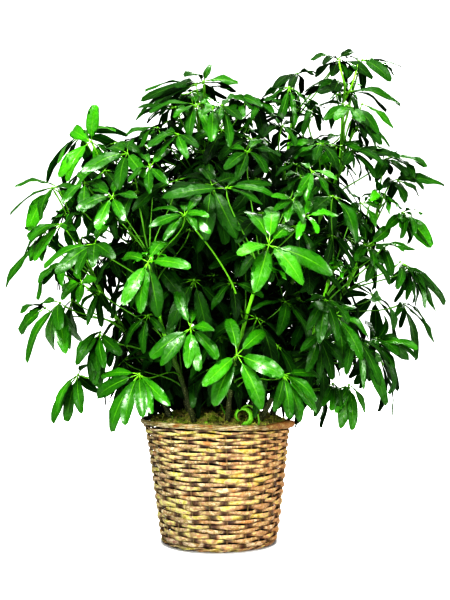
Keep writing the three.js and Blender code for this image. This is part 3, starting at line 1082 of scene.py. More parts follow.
    def weave(self) -> None:
        """Builds the woven base and wall, with a rolled foot between them."""
        rng = random.Random(self.seed)
        base, wall = Workpiece("woven_base"), Workpiece("woven_wall")
        for row, (reach, pitch, on_wall) in enumerate(self.rows()):
            self.strand(wall if on_wall else base, row, reach, pitch, rng)
        foot = Roll(
            self.foot_radius,
            self.foot_height,
            strands=2,
            turns=9,
            offset=1.6,
            radius=1.9,
            rise=lambda _: 0.0,
            rng=rng,
        )
        foot.build(wall, steps=120)
        base.finish([self.palette.wicker], Slot.WICKER, ["basket_base"])
        wall.finish([self.palette.wicker], Slot.WICKER, ["basket_wall"])

    def stake_rods(self) -> None:
        """Builds the stakes that the rows are woven round."""
        piece = Workpiece("woven_stakes")
        length = self.profile_length()
        for i in range(self.stakes):
            line = []
            for k in range(self.stake_steps + 1):
                point, _ = self.surface(length * k / self.stake_steps)
                angle = self.stake_angle(i, point.z)
                above = 3.0 if k == self.stake_steps else 0.0
                height = point.z + self.wave(angle, point.z) + above
                x = point.x * math.cos(angle) + self.shift(point.z)
                line.append(Vector((x, point.x * math.sin(angle), height)))
            right = 0.5 + 0.5 * math.cos(TAU * i / self.stakes)
            # painted shade: the stakes get a dark second tone value, as if in the shade of the rows
            piece.tube(Path(line), lambda _: self.stake_radius, 6, lambda *_, r=right: (0.05, 0.75, r))
        piece.finish([self.palette.wicker], Slot.WICKER)

    def rim(self) -> None:
        """Builds the rolled rim and its tucked end."""
        piece = Workpiece("rolled_rim")
        roll = Roll(
            self.rim_radius,
            self.rim_height,
            strands=5,
            turns=6,
            offset=2.6,
            radius=1.8,
            rise=lambda angle: self.wave(angle, self.top),
            rng=random.Random(self.seed + 1),
            shift=self.lean,
        )
        roll.build(piece, steps=240)
        self.tucked_end(piece)
        piece.finish([self.palette.rim], Slot.RIM, ["basket_rim"])

    def tucked_end(self, piece: Workpiece) -> None:
        """Adds the thick smooth end of cane that lies over the rim at its front right."""
        start, end = (math.radians(bearing) for bearing in (-52.0, 6.0))
        reach = self.rim_radius + self.tuck_out
        line = []
        for i in range(self.tuck_steps + 1):
            angle = blend(start, end, i / self.tuck_steps)
            lift = 5.2 * math.sin(math.pi * min(1.0, 0.12 + i / self.tuck_steps * 0.88))
            height = self.rim_height + lift * 0.6 + self.wave(angle, self.top)
            line.append(Vector((reach * math.cos(angle) + self.lean, reach * math.sin(angle), height)))
        piece.tube(
            Path(line),
            lambda share: 6.4 * math.sqrt(max(0.0, math.sin(math.pi * (0.06 + 0.88 * share)))),
            12,
            lambda _, along: (0.05, 0.0, blend(0.8, 1.9, along)),
        )

    def build(self) -> None:
        """Builds the whole basket."""
        self.weave()
        self.stake_rods()
        self.rim()


# -------------------------------- pot, soil and moss


@dataclass
class Filling:
    """What the basket holds: the nursery pot, the soil and the moss on top, with a young curled shoot."""

    palette: Palette
    nodes: dict[str, bpy.types.Object]
    seed: int = 5
    moss_radius: float = 113.0
    moss_shift: float = -2.5
    moss_edge: float = 203.0
    moss_crown: float = 221.0
    # The share of the moss's rows that close it below its edge.
    hem: float = 0.1
    # How far the lumps and the sprigs are sunk.
    sunk: float = 1.5
    sprigs: int = 1300

    def dress_solids(self) -> None:
        """Gives the pot's and the soil's solids their materials."""
        for name, material in (("grow_pot", self.palette.pot), ("soil", self.palette.soil)):
            data = self.nodes[name].data
            data.materials.clear()
            data.materials.append(material)

    def moss_height(self, x: float, y: float) -> float:
        """Returns the height of the moss at a place."""
        reach = math.hypot(x, y) / self.moss_radius
        dome = blend(self.moss_crown, self.moss_edge, min(1.0, reach) ** 2)
        spot = Vector((x, y, 0))
        clumps = noise.noise(spot * 0.045) * 5.0 + noise.noise(spot * 0.13) * 3.0
        return dome + clumps - self.sunk

    def sprig(self, piece: Workpiece, rng: random.Random) -> None:
        """Adds one small sprig that stands in the moss."""
        angle = rng.uniform(0, TAU)
        reach = self.moss_radius * math.sqrt(rng.uniform(0.12, 1.0)) * 0.985
        x, y = reach * math.cos(angle), reach * math.sin(angle)
        foot = Vector((x + self.moss_shift, y, self.moss_height(x, y) - self.sunk))
        lean = Vector((rng.uniform(-1, 1), rng.uniform(-1, 1), rng.uniform(0.5, 1.2))).normalized()
        curl = Vector((rng.uniform(-1, 1), rng.uniform(-1, 1), rng.uniform(-0.6, 0.6)))
        size = rng.uniform(4.0, 8.5)
        controls = [foot, foot + lean * size * 0.6, foot + lean * size * 0.8 + curl * size * 0.5]
        shade = rng.random()
        piece.tube(
            Path.bezier(controls, 4),
            lambda share: 0.14 * size * (1.1 - share),
            4,
            lambda *_: (shade, 0.0, 0.0),
        )

    def moss(self) -> None:
        """Builds the moss: a lumpy cushion with small sprigs standing in it."""
        piece = Workpiece("moss_cushion")
        rng = random.Random(self.seed)
        floor = self.moss_edge - 6.0
        top = 1 - self.hem

        def place(around: float, along: float) -> Vector:
            """Returns the place of a point of the cushion's skin."""
            angle = TAU * around
            reach = self.moss_radius * (along / top if along < top else (1 - along) / self.hem)
            x, y = reach * math.cos(angle), reach * math.sin(angle)
            height = self.moss_height(x, y) if along < top + 0.01 else floor
            return Vector((x + self.moss_shift, y, height))

        def tone(around: float, along: float) -> Triple:
            """Returns the moss's colour and the painted shade of its hollows."""
            spot = place(around, along)
            # painted shade in the moss's hollows
            deep = smooth_step(0.0, 0.5, -noise.noise(Vector((spot.x, spot.y, 0)) * 0.13))
            return 0.5 + noise.noise(spot * 0.05), deep, 0.0

        piece.sheet(84, 20, place, tone)
        for _ in range(self.sprigs):
            self.sprig(piece, rng)
        piece.finish([self.palette.moss], Slot.MOSS, ["moss"])

    def shoot(self) -> None:
        """Builds the young curled shoot at the front of the moss, and its pale bent stalk."""
        piece = Workpiece("curled_sprout")
        foot = Vector((40.0, -92.0, 200.0))
        coil = [foot]
        for i in range(13):
            angle = math.radians(-80 + i * 27.0)
            reach = 14.5 - i * 0.4
            forward = -3 + i * 0.4
            coil.append(foot + Vector((reach * math.cos(angle) - 2, forward, 19 + reach * math.sin(angle))))
        piece.tube(
            Path.spline(coil, 30),
            lambda share: blend(5.4, 2.4, share),
            8,
            lambda *_: (0.5, 0.0, 0.0),
            flat=0.45,
        )
        arc = [foot + Vector(v) for v in ((22, 2, -4), (24, 0, 12), (19, -2, 28), (8, -2, 36), (-3, 0, 33))]
        piece.tube(Path.spline(arc, 16), lambda _: 1.7, 6, lambda *_: (1.0, 1.0, 0.0))
        piece.finish([self.palette.petiole], Slot.PETIOLE)

    def build(self) -> None:
        """Builds the filling."""
        self.dress_solids()
        self.moss()
        self.shoot()


# -------------------------------- the bush's plan


@dataclass(frozen=True)
class Reading:
    """A leaf as it looks from the front.

    Args:
        at: The hub's place (x, z).
        layer: 1 on the front of the bush and 0 on the axis plane.
        light: How light a green it has, 0 to 1, partly its own green and partly painted light and shade.
        tips: The leaflets' tips from the hub, as they look.
        youth: How young and light the leaf is, 0 to 1.
        width: The blades' width as a share of the usual.
        face: How much the blades turn to the front.
        hidden: The share of a leaflet's unseen length that points to or from the viewer.
    """

    at: Pair
    layer: float
    light: float
    tips: tuple[Pair, ...]
    youth: float = 0.0
    width: float = 1.1
    face: float = 0.8
    hidden: float = 0.7


@dataclass
class Leaf:
    """A compound leaf in space.

    Args:
        hub: Where the leaflets meet.
        normal: The way that the leaf faces.
        tips: The leaflets' tips.
        attach: Where its petiole starts on the stem.
        light: How light a green it has, 0 to 1, partly its own green and partly painted light and shade.
        youth: How young it is, 0 to 1.
        turned: The way that its blades turn their upper sides.
        width: The blades' width as a share of the usual.
    """

    hub: Vector
    normal: Vector
    tips: list[Vector]
    attach: Vector
    light: float = 0.5
    youth: float = 0.0
    turned: Vector = field(default_factory=lambda: Vector((0, 0, 0)))
    width: float = 1.0


STEMS: dict[str, tuple[Triple, ...]] = {
    "stem_tall_right": ((38, -6, 150), (82, -10, 330), (150, -16, 500), (196, -14, 610), (206, -8, 730)),
    "stem_top_centre": ((-6, 6, 150), (-10, 16, 380), (-24, 12, 560), (-26, 6, 715)),
    "stem_top_right": ((20, 30, 150), (56, 48, 380), (104, 40, 580), (128, 24, 735)),
    "stem_top_left": ((-34, 2, 150), (-84, -8, 340), (-140, -16, 500), (-188, -30, 615)),
    "stem_far_left": ((-58, -16, 150), (-116, -30, 290), (-190, -34, 410), (-240, -36, 525)),
    "stem_front_centre": ((10, -44, 150), (20, -108, 270), (40, -168, 370), (60, -196, 440)),
    "stem_far_right": ((62, 4, 150), (130, -14, 300), (212, -30, 430), (262, -30, 550)),
    "stem_back_centre": ((2, 58, 150), (14, 104, 330), (2, 158, 490), (10, 190, 620)),
    "stem_back_left": ((-36, 44, 150), (-84, 92, 330), (-134, 132, 460), (-162, 150, 570)),
    "stem_back_right": ((44, 46, 150), (104, 100, 320), (160, 138, 460), (190, 150, 580)),
    "stem_front_left": ((-26, -40, 150), (-56, -104, 270), (-88, -160, 370), (-100, -186, 460)),
    "stem_front_right": ((42, -32, 150), (92, -88, 260), (146, -126, 350), (172, -140, 440)),
}

# Thin green twigs that branch from the stems, each with its painted shade.
TWIGS = (
    (0.0, ((206, -8, 728), (202, -60, 752), (194, -72, 776), (196, -34, 798))),
    (0.0, ((206, -8, 728), (216, -50, 752), (222, -50, 772), (228, -22, 790))),
    (
        0.5,
        (
            (40, -168, 370),
            (31, -178, 398),
            (22, -190, 428),
            (-8, -215, 478),
            (-32, -246, 508),
            (-48, -271, 528),
        ),
    ),
)

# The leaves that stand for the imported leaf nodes, in their order.
FRONT_LEAVES = (
    Reading((-213, 665), 0.5, 0.75, ((-52, -60), (30, -34), (-38, -68), (18, -45)), face=1.6),
    Reading(
        (-270, 590), 0.45, 0.45,
        ((-62, -3), (-78, -48), (-20, -58), (22, -33), (35, -8)), width=0.8, face=0.7,
    ),
    Reading(
        (-262, 528), 0.55, 0.5,
        ((-48, -28), (-63, -55), (-42, -62), (-10, -50), (30, -13), (20, -30)), width=0.85,
    ),
    Reading(
        (-290, 500), 0.2, 0.55,
        ((-66, -80), (-35, -28), (-13, -35), (25, -20), (-20, 20)), width=0.7, face=1,
    ),
    Reading(
        (-207, 495), 0.9, 0.45, ((-85, -40), (-60, -50), (-22, -52), (3, -40), (40, -25), (15, 32)), width=1
    ),
    Reading(
        (-265, 397), 0.55, 0.5,
        ((-55, -101), (-15, -85), (17, -82), (28, -68), (10, -42), (-45, -15)), width=0.9, face=1.2,
    ),
    Reading(
        (-235, 277), 0.55, 0.45,
        ((-42, -82), (-22, -82), (12, -60), (27, -35), (-28, -58), (15, 10)), width=0.9, face=1.2,
    ),
    Reading(
        (-133, 278), 1, 0.52,
        ((-70, -8), (-75, -43), (-48, -97), (-20, -80), (10, -66), (26, -60), (55, -47)), width=0.9,
    ),
    Reading((-118, 465), 0.95, 0.5, ((-40, -72), (17, -93), (73, -10), (-47, 7), (-10, -85), (25, 35))),
    Reading(
        (-57, 543), 0.95, 0.55,
        ((-58, 7), (-58, -22), (-33, -45), (22, -28), (42, -5), (44, -32), (-3, 25), (25, 37)), width=0.85,
    ),
    Reading(
        (-47, 355), 0.97, 0.55,
        ((-27, 60), (-68, -50), (-50, -62), (-5, -65), (15, -70), (45, -50), (40, -3), (3, 27)), width=0.95,
    ),
    Reading((30, 310), 1, 0.62, ((-57, -48), (-38, -83), (42, -92), (77, -32), (47, 38), (-15, 58))),
    Reading(
        (-27, 762), 0.3, 0.25,
        ((-28, -2), (54, -6), (-103, -30), (-88, -40), (-43, -18), (15, -23)), width=0.85,
    ),
    Reading(
        (-12, 593), 0.75, 0.16,
        ((-82, -25), (22, -100), (42, -90), (-20, 33), (47, 17), (-12, -95)), width=1,
    ),
    Reading((197, 802), 0.1, 0.08, ((-48, -10), (33, 20), (-28, -20), (40, -22), (10, -40)), width=0.8),
    Reading(
        (130, 777), 0.3, 0.12,
        ((-45, -37), (-33, -45), (-17, -38), (8, -25), (28, -10)), width=0.65, face=0.3,
    ),
    Reading(
        (210, 747), 0.5, 0.12, ((-50, -10), (-65, 2), (92, -25), (72, -28), (10, -55)), width=0.8, face=0.3
    ),
    Reading(
        (63, 722), 0.35, 0.2, ((-40, 8), (-12, 4), (22, 0), (-35, -40), (10, -55), (45, -35)), width=0.9
    ),
    Reading(
        (197, 657), 0.45, 0.55, ((-85, 0), (-78, -18), (-33, -35), (20, -45), (45, -22), (55, 2)), width=0.9
    ),
    Reading(
        (282, 640), 0.45, 0.25, ((58, -20), (53, -38), (37, -38), (-15, -38), (-28, -40), (15, 12)), width=1
    ),
    Reading((298, 600), 0.1, 0.25, ((73, -12), (42, -23), (3, -40), (-12, -33), (10, 15)), width=0.9),
    Reading((300, 543), 0.4, 0.4, ((48, -55), (20, -48), (-5, -12), (30, -10), (-30, -25)), width=0.9),
    Reading(
        (83, 493), 1, 0.7, ((-40, 60), (7, 68), (40, 32), (107, -50), (53, -67), (-25, -78), (-53, -18))
    ),
    Reading(
        (248, 492), 0.6, 0.42, ((-18, 40), (42, 33), (77, -8), (30, -45), (3, -48), (-45, -18)), width=1
    ),
    Reading(
        (193, 377), 0.8, 0.45,
        ((42, 10), (10, -90), (60, -42), (45, -75), (-40, 18), (-30, -40)), width=0.95,
    ),
    Reading(
        (108, 277), 0.95, 0.45, ((-18, -58), (8, -70), (28, -80), (55, -63), (52, -42), (63, -8)), width=0.9
    ),
    Reading((217, 260), 0.6, 0.6, ((-27, -42), (-17, -70), (2, -73), (20, -42), (-25, -30)), width=0.9),
    Reading(
        (258, 332), 0.6, 0.35,
        ((10, 45), (65, -30), (67, -10), (37, -43), (33, -85), (-20, -60)), width=0.95,
    ),
    Reading((302, 465), 0.5, 0.3, ((35, -77), (60, -84), (74, -72), (-3, -68), (-15, -45)), width=0.65),
    Reading((305, 397), 0.3, 0.25, ((47, -65), (23, -97), (27, -32), (5, -45), (-20, -20)), width=0.55),
)

# More leaves seen from the front.
SPRAY_LEAVES = (
    Reading(
        (-152, 645), 0.7, 0.35, ((-70, -37), (-88, -60), (-38, 16), (10, 28), (35, -45), (-8, -65)), width=1
    ),
    Reading((-177, 573), 0.9, 0.5, ((-20, -57), (25, -42), (-55, -25), (45, -5), (-38, 18), (10, 35))),
    Reading((-270, 455), 0.6, 0.35, ((-23, -25), (5, -28), (-25, -53), (30, -35)), width=0.8),
    Reading(
        (-228, 430), 0.6, 0.75, ((-40, -12), (-27, -28), (0, -33), (30, 5), (-15, 20)), width=0.9, face=1.2
    ),
    Reading((-290, 388), 0.2, 0.4, ((-30, -7), (-48, -43), (-12, -13)), width=1.1, face=1.2),
    Reading((-198, 343), 0.7, 0.32, ((-35, -47), (-8, -83), (13, -52), (40, -30)), width=0.95),
    Reading(
        (-38, 725), 0.6, 0.5,
        ((-35, -27), (-77, -15), (28, -62), (-10, -58), (35, 10), (-8, 25)), width=0.95, face=0.9,
    ),
    Reading((232, 798), 0.25, 0.1, ((68, -15), (12, -43), (-27, -37), (-15, 15)), width=0.75, face=0.3),
    Reading((152, 715), 0.5, 0.2, ((-33, 10), (27, 13), (-13, -23), (20, -27)), width=0.6, face=0.2),
    Reading((218, 723), 0.6, 0.42, ((42, -50), (12, -35), (-30, -30)), face=1.5),
    Reading((260, 580), 0.5, 0.6, ((-15, -17), (5, -22), (-2, 13)), youth=0.5),
    Reading(
        (142, 540), 0.95, 0.5, ((60, 3), (10, 30), (-32, 20), (18, -30), (-15, -40)), youth=0.35, width=0.9
    ),
    Reading(
        (-223, 597), 0.75, 0.45,
        ((-32, -38), (-22, -22), (3, -52), (25, -40), (43, -18), (-15, 22)), width=1,
    ),
    Reading((-68, 677), 0.7, 0.35, ((-47, -27), (-28, -42), (35, -28), (18, -45), (-25, 8)), width=0.9),
    Reading((5, 725), 0.6, 0.3, ((13, -73), (32, -30), (-33, -22), (-12, -43)), width=0.85),
    Reading(
        (45, 733), 0.35, 0.25,
        ((-30, -5), (30, -3), (12, -33), (-13, -33), (38, -30), (22, -45)), width=0.85,
    ),
    Reading(
        (155, 707), 0.35, 0.15,
        ((-82, 17), (-80, 0), (-93, -17), (-33, -33), (-20, -38)), width=0.6, face=0.1,
    ),
    Reading((198, 765), 0.5, 0.1, ((-38, -27), (-53, -12), (-15, -28), (20, -27)), face=1.4),
    Reading((195, 797), 0.35, 0.1, ((55, -35), (-30, -17), (-13, -33), (17, -35), (27, -22)), face=1.5),
    Reading((238, 800), 0.3, 0.35, ((42, -42), (58, -20)), width=1.2, face=1.5),
    Reading(
        (213, 725), 0.6, 0.35, ((25, -40), (-58, -8), (-43, -30), (-22, -35), (35, -52)), width=1, face=1.1
    ),
    Reading((222, 345), 0.8, 0.3, ((57, -120), (40, -82), (12, -88), (75, -58), (-17, -63)), width=0.55),
    Reading(
        (12, 588), 0.9, 0.4, ((77, 7), (82, -17), (60, -30), (18, 20), (-106, -16)), width=0.75, hidden=0.35
    ),
    Reading((122, 567), 0.9, 0.5, ((-33, -20), (-37, 3), (-12, -38), (15, -38), (23, 15)), width=0.85),
    Reading(
        (155, 615), 0.9, 0.65,
        ((-27, -38), (-13, -52), (23, -42), (37, -18), (-22, 15)), width=0.8, face=1.2,
    ),
    Reading(
        (-115, 623), 0.8, 0.35,
        ((30, 35), (-15, 25), (-30, -30), (3, -48), (33, -32), (-32, -5)), width=0.85,
    ),
    Reading(
        (48, 648), 0.7, 0.25,
        ((-40, -33), (-20, -50), (30, -40), (52, -13), (-33, 10), (23, 25)), width=0.95,
    ),
    Reading((177, 402), 0.85, 0.35, ((-33, -50), (-12, -72), (18, -68), (35, -37), (-28, 0)), width=0.9),
    Reading((235, 563), 0.6, 0.35, ((-30, -28), (-13, -50), (20, -42), (38, -15), (-25, 12)), width=0.85),
    Reading((-212, 665), 0.5, 0.62, ((12, 56), (-37, 25)), youth=0.35, width=1.25, face=2.2),
    Reading((-10, 722), 0.75, 0.6, ((-3, -62), (-10, -7)), width=1, face=1.2),
    Reading(
        (222, 650), 0.6, 0.15, ((77, -15), (33, -47), (45, -28), (60, -2), (-20, -28)), width=0.9, face=1.2
    ),
    Reading(
        (273, 635), 0.5, 0.2, ((63, -13), (68, -50), (32, -33), (18, -20), (-18, 13)), width=0.85, face=1.2
    ),
    Reading((288, 600), 0.5, 0.15, ((15, -37), (3, -27), (80, -8), (48, 2), (-23, -15)), width=0.85),
    Reading((305, 547), 0.5, 0.25, ((22, -7), (38, -35), (13, -37), (-20, -25), (-10, -45)), width=0.8),
    Reading((315, 455), 0.5, 0.18, ((22, -37), (17, -65), (-10, -53), (-23, -27), (37, -37)), width=0.6),
    Reading((255, 465), 0.7, 0.2, ((23, -38), (5, -47), (-17, -33), (33, -10), (-27, 0)), width=0.75),
    Reading(
        (105, 690), 0.55, 0.1,
        ((-33, -23), (-13, -40), (20, -38), (37, -18), (-23, 10), (20, 13)), width=0.75,
    ),
    Reading((165, 342), 0.75, 0.22, ((-23, -58), (-2, -83), (22, -72), (38, -43), (-32, -23)), width=0.85),
    Reading((-198, 415), 0.6, 0.15, ((-27, -25), (-17, -55), (7, -57), (27, -37), (-27, 3)), width=0.6),
    Reading((-290, 515), 0.3, 0.3, ((-18, -13), (-22, -33), (3, -50), (20, -30)), width=0.9),
    Reading((135, 608), 0.7, 0.15, ((-23, -27), (-13, -48), (13, -53), (-27, -3), (30, -23)), width=0.8),
    Reading((222, 705), 0.55, 0.2, ((20, -22), (43, -50), (15, -40), (0, -27)), width=0.9, face=1.2),
    Reading((273, 488), 0.6, 0.25, ((27, -7), (22, -33), (8, -47), (-8, -25), (-18, -3)), width=0.85),
    Reading(
        (262, 338), 0.6, 0.3, ((62, -33), (50, -13), (32, -25), (18, -7), (-17, -20)), width=1, face=1.2
    ),
    Reading((-225, 548), 0.5, 0.3, ((-10, -40), (13, -35), (-23, -23), (23, -17)), width=0.85),
    Reading((-245, 402), 0.3, 0.5, ((-3, -83), (10, -72), (-17, -52), (20, -37)), width=0.8),
    Reading((-38, 758), 0.3, 0.2, ((-82, -17), (-63, -7), (-92, -43), (-43, -23)), width=0.7, face=0.4),
    Reading(
        (-72, 722), 0.35, 0.25,
        ((-60, -7), (-50, -22), (-65, -27), (-30, -32), (23, -23)), width=0.8, face=0.6,
    ),
    Reading((-102, 688), 0.4, 0.2, ((-50, -17), (-37, -30), (-22, -37), (20, -20)), width=0.8),
    Reading(
        (-198, 348), 0.6, 0.3,
        ((-33, -47), (-20, -33), (-12, -80), (-3, -93), (2, -63)), width=0.95, face=1.2,
    ),
    Reading((305, 545), 0.4, 0.5, ((43, -57), (20, -47), (-10, -27)), width=1.2, face=1.5),
    Reading((258, 332), 0.5, 0.1, ((12, 43), (-7, 33), (27, -40), (40, -83)), width=0.8, face=1),
    Reading((245, 492), 0.6, 0.35, ((-17, 37), (0, 40), (-23, 13), (-7, -37), (-23, -27)), width=0.85),
    Reading((218, 648), 0.55, 0.1, ((37, -47), (20, -40), (57, -27), (40, -10)), width=0.8),
    Reading((-278, 588), 0.45, 0.65, ((-38, -72), (43, -36)), width=1.45, face=1.5),
    Reading((-25, 765), 0.3, 0.6, ((12, 26), (58, -3)), width=1.15, face=1.2, hidden=0.1),
    Reading(
        (28, 737), 0.4, 0.35, ((43, -22), (30, -33), (13, -38), (-7, -37), (-23, -22)), width=0.75, face=0.9
    ),
    Reading(
        (67, 728), 0.45, 0.4, ((22, -23), (7, -30), (-15, -33), (42, -13), (28, -5)), width=0.7, face=0.9
    ),
    Reading((52, 703), 0.3, 0.05, ((57, -7), (60, -20), (-10, -22), (20, -20)), width=0.5, face=0.1),
    Reading((228, 688), 0.5, 0.1, ((37, -33), (23, -30), (50, -37), (7, -37)), width=0.8, face=0.6),
    Reading((190, 262), 0.7, 0.3, ((-8, -40), (-22, -33), (7, -33)), width=0.9),
    Reading((-258, 465), 0.5, 0.4, ((-27, -38), (-13, -47), (3, -40), (17, -23)), width=0.85),
    Reading((315, 455), 0.4, 0.25, ((23, -53), (13, -60), (-13, -37)), width=0.8),
    Reading((238, 727), 0.6, 0.45, ((50, -43),), width=1.2, face=1.5, hidden=0.3),
    Reading((130, 777), 0.3, 0.1, ((28, -7), (-42, -30)), width=0.9, face=0.8, hidden=0.3),
)


@dataclass
class Bush:
    """The bush's shape, and where its leaves lie in it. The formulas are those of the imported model."""

    half_width: float = 380.0
    half_depth: float = 300.0
    half_height: float = 385.0
    middle: float = 455.0
    eye: Triple = (10.0, -2000.0, 445.0)
    petiole_length: float = 115.0
    stem_nodes: int = 40
    first_leafy: int = 12
    # The least and the longest reach of a leaf that was read from the front.
    reading_reach: Pair = (82.0, 120.0)
    # How far out the evenly spread leaves of the far side are.
    back_share: float = 0.84
    curves: dict[str, Path] = field(init=False)

    def __post_init__(self) -> None:
        """Draws the stems' centre lines."""
        self.curves = {
            name: Path.spline([Vector(k) for k in knots], self.stem_nodes) for name, knots in STEMS.items()
        }

    def envelope_share(self, height: float) -> float:
        """Returns the bush's width at a height as a share of its widest."""
        return math.sqrt(max(0.0, 1 - ((height - self.middle) / self.half_height) ** 2))

    def envelope_depth(self, x: float, height: float) -> float:
        """Returns how far the bush's front stands out at a place."""
        share = self.envelope_share(height) ** 2 - (x / self.half_width) ** 2
        return self.half_depth * math.sqrt(max(0.0, share))

    def shell_share(self, hub: Vector) -> float:
        """Returns how far out a place lies, 0 at the bush's middle and 1 on its envelope."""
        height = (hub.z - self.middle) / self.half_height
        return Vector((hub.x / self.half_width, hub.y / self.half_depth, height)).length

    def outward(self, hub: Vector) -> Vector:
        """Returns the level direction from the bush's axis."""
        return Vector((hub.x, hub.y, 0)).normalized()

    def facing(self, hub: Vector) -> Vector:
        """Returns the way that a leaf faces: outward, and more upward the higher it sits."""
        lift = math.radians(blend(32.0, 68.0, (hub.z - 250.0) / 550.0))
        return self.outward(hub) * math.cos(lift) + UP * math.sin(lift)

    def on_sight_line(self, x: float, height: float, depth: float) -> Vector:
        """Returns where a place that looks to be at (x, height) lies when it is at a depth."""
        eye = Vector(self.eye)
        return eye.lerp(Vector((x, 0, height)), (depth - eye.y) / -eye.y)

    def attach(self, hub: Vector, normal: Vector) -> Vector:
        """Returns the stem's point that a leaf's petiole starts from."""
        foot = hub - normal * self.petiole_length
        nodes = [p for curve in self.curves.values() for p in curve.points[self.first_leafy :]]
        return min(nodes, key=lambda p: (p - foot).length)

    def front_leaf(self, reading: Reading) -> Leaf:
        """Places a leaf that was read from the front.

        Args:
            reading: The leaf as it looks.

        Returns:
            The leaf in space.
        """
        x, height = reading.at
        depth = -reading.layer * self.envelope_depth(x, height)
        hub = self.on_sight_line(x, height, depth)
        scale = (depth - self.eye[1]) / -self.eye[1]
        normal = self.facing(hub)
        least, longest = self.reading_reach
        reach = scale * min(longest, max(least, max(math.hypot(*tip) for tip in reading.tips)))
        faces_viewer = abs(normal.y) > 0.4
        tips = []
        for i, (dx, dz) in enumerate(reading.tips):
            tip = Vector((dx, 0, dz)) * scale
            unseen = math.sqrt(max(0.0, reach**2 - tip.length_squared))
            alternate = -1.0 if i % 2 == 0 else 1.0
            side = math.copysign(1.0, tip.dot(normal)) if faces_viewer else alternate
            tip.y = side * reading.hidden * unseen
            tips.append(hub + tip)
        foot = self.attach(hub, normal)
        turned = Vector((0, -reading.face, 0))
        return Leaf(hub, normal, tips, foot, reading.light, reading.youth, turned, reading.width)

    def umbrella(
        self,
        hub: Vector,
        normal: Vector,
        count: int,
        reach: float,
        droop: float,
        rng: random.Random | None = None,
    ) -> list[Vector]:
        """Spreads leaflets evenly like an umbrella's ribs.

        Args:
            hub: Where they meet.
            normal: The way that the leaf faces.
            count: The number of leaflets.
            reach: Their length from the hub.
            droop: Their angle below the plane across the normal, in degrees.
            rng: A source of unevenness, or None for an even leaf.

        Returns:
            The leaflets' tips.
        """
        across = UP.cross(normal).normalized()
        upward = normal.cross(across)
        tips = []
        for i in range(count):
            angle = (i + 0.5) / count * TAU
            length = reach * (1 - 0.14 * math.sin(angle))
            sag = math.radians(droop)
            if rng is not None:
                angle += spread(rng, 0.16)
                length *= rng.uniform(0.82, 1.08)
                sag += math.radians(rng.uniform(-10.0, 14.0))
            spoke = across * math.cos(angle) + upward * math.sin(angle)
            tips.append(hub + (spoke * math.cos(sag) - normal * math.sin(sag)) * length)
        return tips

    def back_leaf(self, index: int) -> Leaf:
        """Places one of the evenly spread leaves of the far side."""
        height = 300.0 + 35.0 * index
        bearing = math.radians(18.0 + (52.0 * index) % 144.0)
        share = self.back_share * self.envelope_share(height)
        x = self.half_width * share * math.cos(bearing)
        hub = Vector((x, self.half_depth * share * math.sin(bearing), height))
        normal = self.facing(hub)
        light = 0.3 + 0.5 * ((index * 5) % 12) / 12
        tips = self.umbrella(hub, normal, 8, 92.0, 28.0)
        foot = self.attach(hub, normal)
        return Leaf(hub, normal, tips, foot, light, 0.0, self.outward(hub) * 0.5, 0.85)


